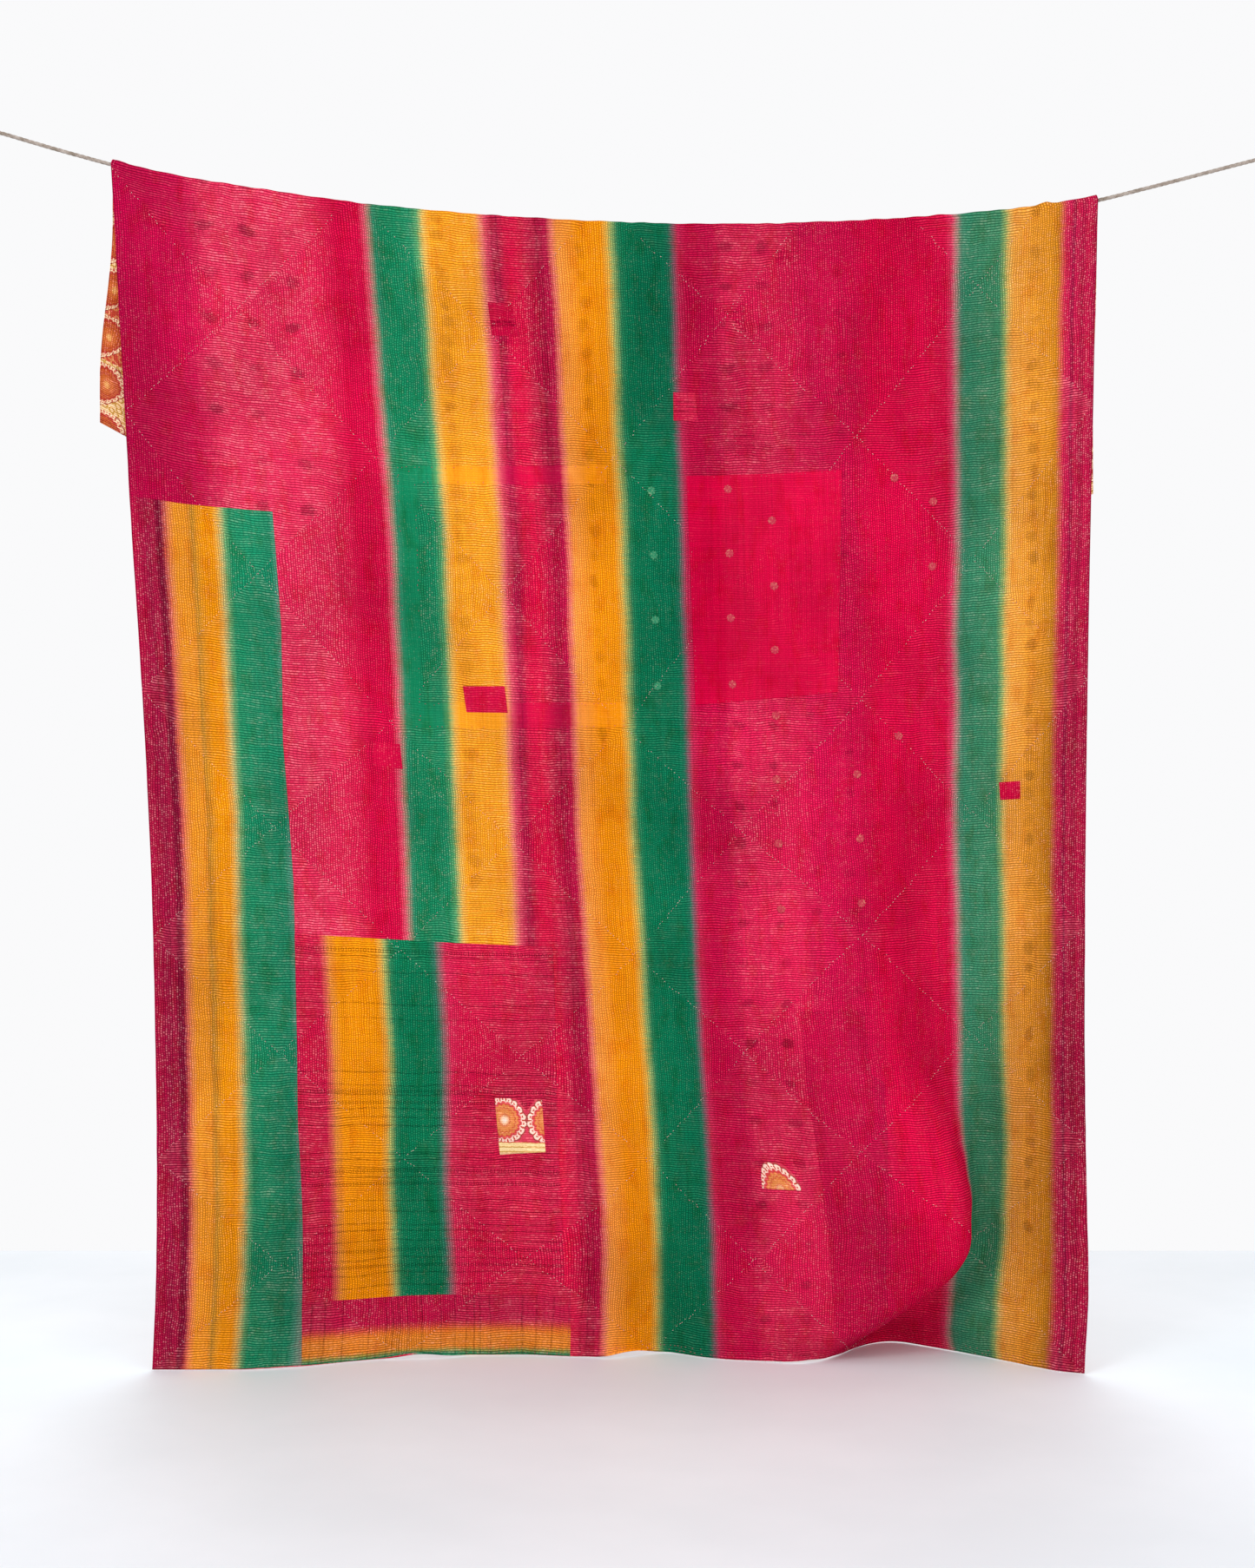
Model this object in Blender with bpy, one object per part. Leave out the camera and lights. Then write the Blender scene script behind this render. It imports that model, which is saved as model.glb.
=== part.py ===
"""A kantha quilt hung over a rope line.

The rope is tied to an eye plate on each side wall and sags under the quilt. The quilt is one stitched
cloth, folded over the rope: a short flap hangs behind it and a long drop hangs in front, down to the floor.
There the hem stands in a slow wave, and the cloth right of the middle swells forwards and turns back.

The frame is in metres, with +X along the rope from left to right, +Y behind the quilt and +Z up. The
origin is the centre of the left eye plate's back face.
"""
import math

import bmesh
import bpy
import numpy as np
from mathutils import Matrix, Vector

# The quilt as it is cut, and its thickness with all its layers
CLOTH_WIDTH = 1.54
CLOTH_LENGTH = 2.26
CLOTH_THICKNESS = 0.0025

# The rope, and the air left between it and the cloth
ROPE_DIAMETER = 0.006
ROPE_CLEARANCE = 0.002
ROPE_POINTS = 80
ROPE_BEVEL_STEPS = 2

# The room: between the two walls, down to the floor under the hem, and how much lower the right plate sits
WALL_TO_WALL = 2.2067
FLOOR_BELOW_EYE = 1.926
RIGHT_EYE_DROP = 0.045
HEM_ABOVE_FLOOR = 0.002

# The eye plate: a flat plate with a bow of round bar
PLATE_WIDTH = 0.044
PLATE_HEIGHT = 0.064
PLATE_THICKNESS = 0.003
PLATE_CORNER_RADIUS = 0.006
PLATE_CORNER_STEPS = 4
BOW_BAR_DIAMETER = 0.006
BOW_HALF_WIDTH = 0.013
BOW_REACH = 0.035
BOW_FOOT_IN_PLATE = 0.0015
BOW_BEND_STEPS = 16

# The knot: a loop through the bow and five turns wound round the rope, measured from the bow's bar
LOOP_BEND_RADIUS = 0.0070
LOOP_PINCH = 0.0034
LOOP_BEND_STEPS = 12
KNOT_START = 0.030
KNOT_END = 0.0625
KNOT_TURNS = 5
KNOT_RADIUS = 0.0087
KNOT_GROOVE = 0.0014
KNOT_SIDES = 16
KNOT_STEPS_A_TURN = 4
TOUCH_GAP = 0.0003

# The rope's route between the knots: distance from the left wall, height
ROPE_ROUTE = (
    (0.140, -0.030),
    (0.225, -0.055),
    (0.312, -0.079),
    (0.380, -0.097),
    (0.487, -0.116),
    (0.593, -0.132),
    (0.700, -0.147),
    (0.860, -0.162),
    (1.020, -0.172),
    (1.153, -0.177),
    (1.287, -0.178),
    (1.420, -0.174),
    (1.553, -0.167),
    (1.660, -0.158),
    (1.747, -0.148),
    (1.824, -0.134),
    (1.897, -0.116),
    (2.047, -0.077),
)
QUILT_LEFT = 0.312
QUILT_RIGHT = 1.824

# Lines of the weave that lay out the front's left and middle: distance across the flat cloth
LINES = (0.00, 0.20, 0.40, 0.56, 0.69, 0.785, 0.873, 0.98)

# Where they hang at shares of the drop from the rope to the hem: share, distance of each line from the left
# wall, the same for the cloth's right edge, in millimetres
LINES_X_MM = (
    (0.25, (338, 536, 735, 889, 1010, 1100, 1183, 1286), 1813),
    (0.57, (374, 566, 760, 911, 1032, 1121, 1201, 1300), 1802),
    (0.76, (384, 577, 770, 922, 1054, 1143, 1220, 1319), 1799),
    (0.885, (385, 580, 769, 924, 1068, 1154, 1232, 1340), 1802),
    (0.93, (384, 577, 770, 926, 1070, 1156, 1234, 1341), 1803),
    (1.00, (378, 568, 768, 925, 1066, 1155, 1236, 1342), 1796),
)

# How far behind the rope's plane they hang: share, each line, the right edge, in millimetres
LINES_BACK_MM = (
    (0.25, (-8, 0, 12, 12, 12, 14, 10, 10), -10),
    (0.57, (-15, 5, 30, 35, 30, 40, 30, 15), -20),
    (0.76, (-20, 0, 40, 50, 45, 60, 35, 10), -30),
    (0.885, (-20, 0, 50, 55, 45, 70, 40, 0), -35),
    (0.93, (-20, -5, 55, 60, 50, 80, 45, 10), -35),
    (1.00, (-20, -5, 56, 66, 55, 86, 46, 24), -40),
)

# The swell, right of those lines, where the cloth turns back from the viewer: share of the drop, how far
# across the flat cloth the turn is, its half width, and how far it turns in degrees
SWELL = (
    (0.00, 1.220, 0.100, 0),
    (0.25, 1.200, 0.090, 6),
    (0.57, 1.215, 0.095, 22),
    (0.76, 1.265, 0.070, 42),
    (0.87, 1.308, 0.048, 84),
    (0.91, 1.297, 0.047, 94),
    (0.94, 1.248, 0.047, 94),
    (0.97, 1.174, 0.058, 80),
    (1.00, 1.105, 0.095, 56),
)
SWELL_STEPS = 280
SWELL_LEAD_IN = 0.06
SWELL_RETURN_AFTER = 1.1
SWELL_RETURN_SOFT = 0.05
EDGE_SLOPE_SHARE = 0.6

# The back flap: how far its two edges drift to the left, where that starts and ends below the rope, and how
# far it hangs behind the front once it has settled
BACK_DRIFT_LEFT = 0.019
BACK_DRIFT_RIGHT = 0.006
BACK_DRIFT_START = 0.09
BACK_DRIFT_END = 0.33
BACK_GAP = 0.010
BACK_GAP_SETTLES = 0.10

# The cloth's mesh: stops and the longest steps between them, across the cloth and as shares of the drop
ACROSS_STOPS = (0.0, 1.04, 1.36, CLOTH_WIDTH)
ACROSS_STEPS = (0.040, 0.014, 0.040)
DOWN_STOPS = (0.0, 0.78, 1.0)
DOWN_STEPS = (0.045, 0.0125)
FLAP_STEPS = 8
FOLD_STEPS = 8

# Colours, as linear values
QUILT_COLOUR = (0.58, 0.012, 0.060)
ROPE_COLOUR = (0.46, 0.38, 0.31)
STEEL_COLOUR = (0.56, 0.57, 0.58)


def through(places, values, at):
    """The smooth curve through values at places, read at other places; values may be rows of values."""
    places = np.asarray(places, float)
    values = np.asarray(values, float)
    at = np.asarray(at, float)
    slopes = np.gradient(values, places, axis=0)
    left = np.clip(np.searchsorted(places, at, side="right") - 1, 0, len(places) - 2)
    spread = (slice(None),) + (None,) * (values.ndim - 1)
    gap = (places[left + 1] - places[left])[spread]
    t = (at - places[left])[spread] / gap
    from_left = (1 + 2 * t) * (1 - t) ** 2 * values[left] + t * (1 - t) ** 2 * gap * slopes[left]
    from_right = t**2 * (3 - 2 * t) * values[left + 1] + t**2 * (t - 1) * gap * slopes[left + 1]
    return from_left + from_right


def running_total(values, step):
    """The integral of each row from its start to each of its places."""
    trapezia = (values[:, 1:] + values[:, :-1]) / 2 * step
    return np.concatenate([np.zeros((len(values), 1)), np.cumsum(trapezia, axis=1)], axis=1)


def subdivided(stops, steps):
    """The stops with even steps put in between them, no longer than the step given for each stretch."""
    out = [stops[0]]
    for start, end, step in zip(stops, stops[1:], steps):
        count = math.ceil((end - start) / step - 1e-6)
        out.extend(start + (end - start) * (i + 1) / count for i in range(count))
    return np.array(out)


def material(name, colour, roughness, metallic=0.0):
    """A Principled material."""
    made = bpy.data.materials.new(name)
    made.use_nodes = True
    shader = made.node_tree.nodes["Principled BSDF"]
    shader.inputs["Base Color"].default_value = (*colour, 1.0)
    shader.inputs["Roughness"].default_value = roughness
    shader.inputs["Metallic"].default_value = metallic
    return made


def add_object(name, data, finish):
    """An object in the scene with one material."""
    made = bpy.data.objects.new(name, data)
    bpy.context.scene.collection.objects.link(made)
    data.materials.append(finish)
    return made


def rope_ends():
    """For each side, the middle of the bow's bar and the rope's direction away from it."""
    ends = []
    for x, z, toward in (
        (BOW_REACH, 0.0, ROPE_ROUTE[0]),
        (WALL_TO_WALL - BOW_REACH, -RIGHT_EYE_DROP, ROPE_ROUTE[-1]),
    ):
        bow = Vector((x, 0.0, z))
        direction = (Vector((toward[0], 0.0, toward[1])) - bow).normalized()
        ends.append((bow, direction))
    return ends


def rope_route():
    """The rope's centre line from knot to knot as two arrays, distance from the left wall and height."""
    (left_bow, left_way), (right_bow, right_way) = rope_ends()
    start = left_bow + left_way * (KNOT_END + TOUCH_GAP)
    end = right_bow + right_way * (KNOT_END + TOUCH_GAP)
    x, z = np.array([(start.x, start.z), *ROPE_ROUTE, (end.x, end.z)]).T
    smooth_x = np.linspace(x[0], x[-1], ROPE_POINTS)
    return smooth_x, through(x, z, smooth_x)


def fold_line(across):
    """Where the rope runs under places across the flat cloth: distance from the left wall, height, slope."""
    x, z = rope_route()
    dense_x = np.linspace(QUILT_LEFT, QUILT_RIGHT, 400)
    dense_z = through(x, z, dense_x)
    along = np.concatenate([[0.0], np.cumsum(np.hypot(np.diff(dense_x), np.diff(dense_z)))])
    rope_x = np.interp(across / CLOTH_WIDTH * along[-1], along, dense_x)
    slope = np.interp(rope_x, dense_x, np.gradient(dense_z, dense_x))
    return rope_x, through(x, z, rope_x), slope


def fold_radius():
    """Distance from the rope's centre line to the middle of the cloth's thickness."""
    return ROPE_DIAMETER / 2 + ROPE_CLEARANCE + CLOTH_THICKNESS / 2


def hem_height():
    """Height of the front hem, just clear of the floor."""
    return HEM_ABOVE_FLOOR - FLOOR_BELOW_EYE


def on_the_lines(across, share):
    """Distance from the left wall and behind the rope's plane, each share by across, as the lines hang."""
    rope_x = fold_line(across)[0]
    out = []
    for rows, at_rope in ((LINES_X_MM, rope_x), (LINES_BACK_MM, np.full_like(rope_x, -fold_radius()))):
        levels = [0.0] + [level for level, _, _ in rows]
        values = [at_rope] + [through(LINES, line, across) / 1000 for _, line, _ in rows]
        out.append(through(levels, np.stack(values), share))
    return out


def on_the_edge(share):
    """Distance from the left wall and behind the rope's plane of the cloth's right edge, each a column."""
    rope_x = fold_line(np.array([CLOTH_WIDTH]))[0][0]
    out = []
    for rows, at_rope in ((LINES_X_MM, rope_x), (LINES_BACK_MM, -fold_radius())):
        levels = [0.0] + [level for level, _, _ in rows]
        values = [at_rope] + [edge / 1000 for _, _, edge in rows]
        out.append(through(levels, values, share)[:, None])
    return out


def swell(share):
    """The cloth from the last line to its right edge: places across, then x and y as share by place.

    Each level is drawn by its heading: it leads on from the last line, turns back through the swell's angle,
    and comes forwards again to the right edge. What is left over is spread towards that edge.
    """
    places = np.linspace(LINES[-1], CLOTH_WIDTH, SWELL_STEPS + 1)
    step = places[1] - places[0]
    table = np.array(SWELL)
    turn, half_width, angle = through(table[:, 0], table[:, 1:], share).T[:, :, None]
    near_start = np.array([LINES[-1] - step, LINES[-1]])
    line_x, line_y = on_the_lines(near_start, share)
    start_x, start_y = line_x[:, 1:], line_y[:, 1:]
    start_heading = np.arctan2(np.diff(line_y), np.diff(line_x))
    edge_x, edge_y = on_the_edge(share)

    lead = start_heading * np.exp(-(places - LINES[-1]) / SWELL_LEAD_IN)
    turned = np.radians(angle) * np.exp(-(((places - turn) / half_width) ** 2))
    too_far_back = start_y + running_total(np.sin(lead + turned), step)[:, -1:] - edge_y

    starts = np.clip((places - turn - SWELL_RETURN_AFTER * half_width) / SWELL_RETURN_SOFT + 0.5, 0.0, 1.0)
    ends = np.clip((CLOTH_WIDTH - places) / SWELL_RETURN_SOFT, EDGE_SLOPE_SHARE, 1.0)
    slope = starts * ends
    slope /= slope.sum(axis=1, keepdims=True) * step
    heading = lead + turned - np.arcsin(np.clip(too_far_back * slope, -0.9, 0.9))

    x = start_x + running_total(np.cos(heading), step)
    y = start_y + running_total(np.sin(heading), step)
    t = (places - LINES[-1]) / (CLOTH_WIDTH - LINES[-1])
    return places, x + t**2 * (edge_x - x[:, -1:]), y + t * (edge_y - y[:, -1:])


def front_drop(across, share):
    """Points of the front, share by across by 3; share runs from 0 at the rope to 1 at the hem."""
    lined = across[across <= LINES[-1]]
    swelling = across[across > LINES[-1]]
    parts = list(on_the_lines(lined, share))
    places, swell_x, swell_y = swell(share)
    for i, values in enumerate((swell_x, swell_y)):
        read = np.array([np.interp(swelling, places, row) for row in values])
        parts[i] = np.concatenate([parts[i], read.reshape(len(share), -1)], axis=1)
    rope_z = fold_line(across)[1]
    z = rope_z + (hem_height() - rope_z) * share[:, None]
    return np.stack([parts[0], parts[1], z], axis=-1)


def over_the_rope(across):
    """Points of the half turn over the rope, from just above the front to just above the back."""
    rope_x, rope_z, slope = fold_line(across)
    angle = np.linspace(0.0, math.pi, FOLD_STEPS + 1)[1:-1, None]
    lean = np.arctan(slope)
    lift = fold_radius() * np.sin(angle)
    x = rope_x - lift * np.sin(lean)
    y = np.broadcast_to(-fold_radius() * np.cos(angle), x.shape)
    z = rope_z + lift * np.cos(lean)
    return np.stack([x, y, z], axis=-1)


def back_flap(across, share):
    """Points of the flap behind the rope, as long as the fold and the front's drop leave over."""
    rope_x, rope_z, _ = fold_line(across)
    drop = rope_z - hem_height()
    length = CLOTH_LENGTH - math.pi * fold_radius() - drop
    below = share[:, None] * length
    t = np.clip((below - BACK_DRIFT_START) / (BACK_DRIFT_END - BACK_DRIFT_START), 0.0, 1.0)
    drift = BACK_DRIFT_LEFT + (BACK_DRIFT_RIGHT - BACK_DRIFT_LEFT) * across / CLOTH_WIDTH
    x = rope_x - drift * t * t * (3 - 2 * t)
    in_front = front_drop(across, share * np.mean(length / drop))[..., 1]
    settled = np.clip(below / BACK_GAP_SETTLES, 0.0, 1.0)
    y = in_front + 2 * fold_radius() + (BACK_GAP - 2 * fold_radius()) * settled
    return np.stack([x, y, rope_z - below], axis=-1)


def quilt():
    """The cloth: one sheet from the back flap's hem, over the rope and down to the front hem."""
    across = subdivided(ACROSS_STOPS, ACROSS_STEPS)
    front = front_drop(across, subdivided(DOWN_STOPS, DOWN_STEPS))
    flap = back_flap(across, np.linspace(0.0, 1.0, FLAP_STEPS + 1))
    rows = np.concatenate([flap[::-1], over_the_rope(across)[::-1], front])
    count_down, count_across = rows.shape[:2]
    faces = []
    for i in range(count_down - 1):
        for j in range(count_across - 1):
            corner = i * count_across + j
            faces.append((corner, corner + count_across, corner + count_across + 1, corner + 1))
    mesh = bpy.data.meshes.new("quilt")
    mesh.from_pydata(rows.reshape(-1, 3).tolist(), [], faces)
    mesh.shade_smooth()
    made = add_object("quilt", mesh, material("stitched_cotton", QUILT_COLOUR, 0.9))
    layer = made.modifiers.new("thickness", "SOLIDIFY")
    layer.thickness = CLOTH_THICKNESS
    layer.offset = 0.0
    layer.use_even_offset = True


def bar(name, points, diameter, cyclic=False):
    """A curve with a round section through the points, with filled caps."""
    curve = bpy.data.curves.new(name, "CURVE")
    curve.dimensions = "3D"
    curve.bevel_depth = diameter / 2
    curve.bevel_resolution = ROPE_BEVEL_STEPS
    curve.use_fill_caps = not cyclic
    spline = curve.splines.new("POLY")
    spline.points.add(len(points) - 1)
    for point, place in zip(spline.points, points):
        point.co = (*place, 1.0)
    spline.use_cyclic_u = cyclic
    return curve


def guide(name, data):
    """An object that only shapes another one."""
    made = bpy.data.objects.new(name, data)
    bpy.context.scene.collection.objects.link(made)
    made.hide_render = True
    made.display_type = "WIRE"
    return made


def guide_from_curve(name, curve):
    """The curve's surface as a closed mesh that only shapes another object."""
    drawn = guide(name + "_curve", curve)
    bpy.context.view_layer.update()
    shape = drawn.evaluated_get(bpy.context.evaluated_depsgraph_get())
    mesh = bpy.data.meshes.new_from_object(shape)
    bpy.data.objects.remove(drawn)
    edit = bmesh.new()
    edit.from_mesh(mesh)
    bmesh.ops.remove_doubles(edit, verts=edit.verts, dist=1e-6)
    bmesh.ops.recalc_face_normals(edit, faces=edit.faces)
    edit.to_mesh(mesh)
    edit.free()
    return guide(name, mesh)


def join(target, helper):
    """A union of the target with the helper."""
    union = target.modifiers.new("join_" + helper.name, "BOOLEAN")
    union.operation = "UNION"
    union.object = helper


def rope():
    """The rope from knot to knot."""
    x, z = rope_route()
    curve = bar("rope", [(a, 0.0, b) for a, b in zip(x, z)], ROPE_DIAMETER)
    add_object("rope", curve, material("jute", ROPE_COLOUR, 0.95))


def eye_plate(side, bow, out):
    """The plate on a wall with its bow of bar; out is +1 where the bow points along +X, and else -1."""
    edit = bmesh.new()
    bmesh.ops.create_cube(edit, size=1.0)
    bmesh.ops.scale(edit, vec=(PLATE_THICKNESS, PLATE_WIDTH, PLATE_HEIGHT), verts=edit.verts)
    corners = [e for e in edit.edges if abs(e.verts[0].co.x - e.verts[1].co.x) > PLATE_THICKNESS / 2]
    bmesh.ops.bevel(
        edit,
        geom=corners,
        offset=PLATE_CORNER_RADIUS,
        segments=PLATE_CORNER_STEPS,
        affect="EDGES",
        profile=0.5,
    )
    plate_x = bow.x - out * (BOW_REACH - PLATE_THICKNESS / 2)
    bmesh.ops.translate(edit, vec=(plate_x, 0.0, bow.z), verts=edit.verts)
    mesh = bpy.data.meshes.new("eye_plate_" + side)
    edit.to_mesh(mesh)
    edit.free()
    made = add_object("eye_plate_" + side, mesh, material("zinc_" + side, STEEL_COLOUR, 0.4, 1.0))
    foot_x = bow.x - out * (BOW_REACH - PLATE_THICKNESS + BOW_FOOT_IN_PLATE)
    bend_x = bow.x - out * BOW_HALF_WIDTH
    points = [(foot_x, 0.0, bow.z + BOW_HALF_WIDTH)]
    for i in range(BOW_BEND_STEPS + 1):
        angle = math.pi / 2 - math.pi * i / BOW_BEND_STEPS
        x = bend_x + out * BOW_HALF_WIDTH * math.cos(angle)
        points.append((x, 0.0, bow.z + BOW_HALF_WIDTH * math.sin(angle)))
    points.append((foot_x, 0.0, bow.z - BOW_HALF_WIDTH))
    join(made, guide_from_curve("bow_" + side, bar("bow_" + side, points, BOW_BAR_DIAMETER)))


def knot_profile():
    """Distance along the rope and radius of the wound turns, with a groove between each two."""
    steps = KNOT_TURNS * KNOT_STEPS_A_TURN
    out = []
    for i in range(steps + 1):
        share = i / steps
        groove = KNOT_GROOVE * (1 - abs(math.sin(math.pi * share * KNOT_TURNS)))
        out.append((KNOT_START + (KNOT_END - KNOT_START) * share, KNOT_RADIUS - groove))
    return out


def knot(side, bow, way):
    """The rope's loop through the bow and the turns that close it; way is the rope's direction."""
    edit = bmesh.new()
    frame = Matrix.Translation(bow) @ way.to_track_quat("Z", "Y").to_matrix().to_4x4()
    angles = [2 * math.pi * k / KNOT_SIDES for k in range(KNOT_SIDES)]
    rings = []
    for along, radius in knot_profile():
        places = [Vector((radius * math.cos(a), radius * math.sin(a), along)) for a in angles]
        rings.append([edit.verts.new(frame @ place) for place in places])
    bmesh.ops.contextual_create(edit, geom=rings[0])
    bmesh.ops.contextual_create(edit, geom=rings[-1])
    for lower, upper in zip(rings, rings[1:]):
        for k in range(KNOT_SIDES):
            after = (k + 1) % KNOT_SIDES
            edit.faces.new((lower[k], lower[after], upper[after], upper[k]))
    bmesh.ops.recalc_face_normals(edit, faces=edit.faces)
    mesh = bpy.data.meshes.new("rope_knot_" + side)
    edit.to_mesh(mesh)
    edit.free()
    made = add_object("rope_knot_" + side, mesh, material("jute_knot_" + side, ROPE_COLOUR, 0.95))
    aside = Vector((0.0, 1.0, 0.0))
    inside = (KNOT_START + KNOT_END) / 2
    points = [bow + way * inside + aside * LOOP_PINCH, bow + way * KNOT_START + aside * LOOP_PINCH]
    for i in range(LOOP_BEND_STEPS + 1):
        angle = math.pi / 2 + math.pi * i / LOOP_BEND_STEPS
        points.append(bow + (way * math.cos(angle) + aside * math.sin(angle)) * LOOP_BEND_RADIUS)
    points += [bow + way * KNOT_START - aside * LOOP_PINCH, bow + way * inside - aside * LOOP_PINCH]
    join(made, guide_from_curve("loop_" + side, bar("loop_" + side, points, ROPE_DIAMETER, cyclic=True)))


def main():
    """Build the quilt, the rope and what holds it."""
    for old in list(bpy.data.objects):
        bpy.data.objects.remove(old)
    quilt()
    rope()
    (left_bow, left_way), (right_bow, right_way) = rope_ends()
    eye_plate("left", left_bow, 1)
    eye_plate("right", right_bow, -1)
    knot("left", left_bow, left_way)
    knot("right", right_bow, right_way)


main()
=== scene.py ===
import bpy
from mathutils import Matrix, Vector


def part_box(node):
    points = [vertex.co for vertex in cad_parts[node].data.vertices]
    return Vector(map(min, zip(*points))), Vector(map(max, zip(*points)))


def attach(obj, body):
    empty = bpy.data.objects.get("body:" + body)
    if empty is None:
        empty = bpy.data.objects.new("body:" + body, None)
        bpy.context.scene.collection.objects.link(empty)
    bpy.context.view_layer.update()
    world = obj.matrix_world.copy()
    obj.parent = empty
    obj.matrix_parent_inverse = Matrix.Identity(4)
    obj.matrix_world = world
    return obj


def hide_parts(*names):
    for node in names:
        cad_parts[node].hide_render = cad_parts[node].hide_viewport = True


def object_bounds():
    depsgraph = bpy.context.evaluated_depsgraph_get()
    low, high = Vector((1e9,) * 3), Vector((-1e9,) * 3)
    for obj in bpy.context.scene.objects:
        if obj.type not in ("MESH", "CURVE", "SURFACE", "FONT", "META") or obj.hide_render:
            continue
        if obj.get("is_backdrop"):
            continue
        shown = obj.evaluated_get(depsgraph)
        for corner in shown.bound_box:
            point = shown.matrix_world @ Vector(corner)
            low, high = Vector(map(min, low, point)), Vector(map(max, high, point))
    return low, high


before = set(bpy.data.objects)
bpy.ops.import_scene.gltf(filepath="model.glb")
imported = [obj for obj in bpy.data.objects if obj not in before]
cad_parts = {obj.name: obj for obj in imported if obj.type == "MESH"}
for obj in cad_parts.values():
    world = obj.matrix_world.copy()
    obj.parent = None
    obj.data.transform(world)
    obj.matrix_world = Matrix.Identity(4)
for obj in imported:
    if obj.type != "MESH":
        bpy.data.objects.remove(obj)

"""The looks of a kantha quilt that hangs over a rope line.

The quilt is one cloth, folded over the rope, with its front as a dip-dyed striped cotton and its back as a
block-printed one. On it lie the sewn patches, the whiter rows of thread and the small woven rosettes. The
rope, its two knots and the two eye plates carry it. Lengths are in metres unless a name says otherwise.
"""
import logging
import math
from dataclasses import dataclass, field
from enum import Enum

import bpy
import numpy as np
from mathutils import Vector

LOG = logging.getLogger("quilt")
CAD_LOW, CAD_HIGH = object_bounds()
SEED = 7
MM = 0.001
PLATE_THICKNESS = 0.003
# The flat cloth's width, and how far in from its edges the two rows of hem stitches lie
WIDTH_MM = 1540
HEM_ROWS = (0.004, 0.011)

Array = np.ndarray
Material = bpy.types.Material
Piece = bpy.types.Object
Socket = bpy.types.NodeSocket
Tree = bpy.types.NodeTree

# What the second word of a node's kind chooses, where it isn't its operation
CHOICES = {
    "Mix": "data_type",
    "MapRange": "interpolation_type",
    "TexNoise": "noise_dimensions",
    "TexWhiteNoise": "noise_dimensions",
    "TexVoronoi": "voronoi_dimensions",
    "TexWave": "wave_type",
}


def evenly(share: float) -> tuple[tuple[float, float], ...]:
    """Says that the thread is equally worn over the whole width, by the share of its faded colour."""
    return (0, share), (WIDTH_MM, share)


class Slot(Enum):
    """The record's material slots."""

    COTTON = "stitched_cotton"
    JUTE = "jute"
    STEEL = "zinc_steel"


class Run(Enum):
    """The direction in which a dyed cloth's stripes follow each other."""

    ACROSS = "X"
    DOWN = "Y"


def linear(code: str) -> tuple[float, float, float, float]:
    """Turns an sRGB hex colour into linear values.

    Each channel c is c / 12.92 up to 0.04045, and ((c + 0.055) / 1.055) ** 2.4 above it.

    Args:
        code: six hex digits after a hash sign.

    Returns:
        Red, green, blue and an alpha of 1.
    """
    channels = [int(code[i : i + 2], 16) / 255 for i in (1, 3, 5)]
    red, green, blue = (c / 12.92 if c <= 0.04045 else ((c + 0.055) / 1.055) ** 2.4 for c in channels)
    return red, green, blue, 1.0


def add(
    tree: Tree,
    kind: str,
    inputs: dict[int | str, object] | tuple | list = (),
    output: int | str = 0,
    stops: list[tuple[float, str | tuple]] | None = None,
    **settings: object,
) -> Socket:
    """Adds a node with its settings and links.

    Args:
        tree: the node tree.
        kind: the node's type without the leading ShaderNode, then its main choice after a blank.
        inputs: for each input, by name or in order, a socket to link from, or a value to set.
        output: the output to give back.
        stops: places and colours, for a colour ramp.
        settings: the node's own properties.

    Returns:
        The output socket.
    """
    kind, _, choice = kind.partition(" ")
    node = tree.nodes.new("ShaderNode" + kind)
    if choice:
        setattr(node, CHOICES.get(kind, "operation"), choice)
    for name, value in settings.items():
        setattr(node, name, value)
    for name, value in inputs.items() if isinstance(inputs, dict) else enumerate(inputs):
        if isinstance(value, Socket):
            tree.links.new(value, node.inputs[name])
        else:
            node.inputs[name].default_value = value
    if stops:
        elements = node.color_ramp.elements
        while len(elements) < len(stops):
            elements.new(1.0)
        for element, (place, colour) in zip(elements, stops):
            element.position = place
            element.color = linear(colour) if isinstance(colour, str) else colour
    return node.outputs[output]


def blank_material(name: str) -> tuple[Material, Tree]:
    """Starts a material that is named for its real finish, and gives its node tree too."""
    made = bpy.data.materials.new(name)
    made.use_nodes = True
    return made, made.node_tree


def dress(tree: Tree, colour: Socket, relief: tuple[Socket, float, float] | None, **values: object) -> None:
    """Sets what a material's shader takes.

    Args:
        tree: the node tree.
        colour: the base colour.
        relief: a height, and the strength and the distance in metres of its bump.
        values: for each other input a value, or a socket to link from.
    """
    shader = tree.nodes["Principled BSDF"]
    tree.links.new(colour, shader.inputs["Base Color"])
    if relief:
        height, strength, distance = relief
        bump = add(tree, "Bump", {"Strength": strength, "Distance": distance, "Height": height})
        tree.links.new(bump, shader.inputs["Normal"])
    for name, value in values.items():
        socket = shader.inputs[name.replace("_", " ")]
        if isinstance(value, Socket):
            tree.links.new(value, socket)
        else:
            socket.default_value = value


def stretched(tree: Tree, place: Socket, across: float, down: float, detail: float) -> Socket:
    """Reads noise at a place, with a scale across and one down."""
    spread = add(tree, "Mapping", {"Vector": place, "Scale": (across, down, 1.0)})
    return add(tree, "TexNoise 2D", {"Vector": spread, "Scale": 1.0, "Detail": detail})


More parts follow.
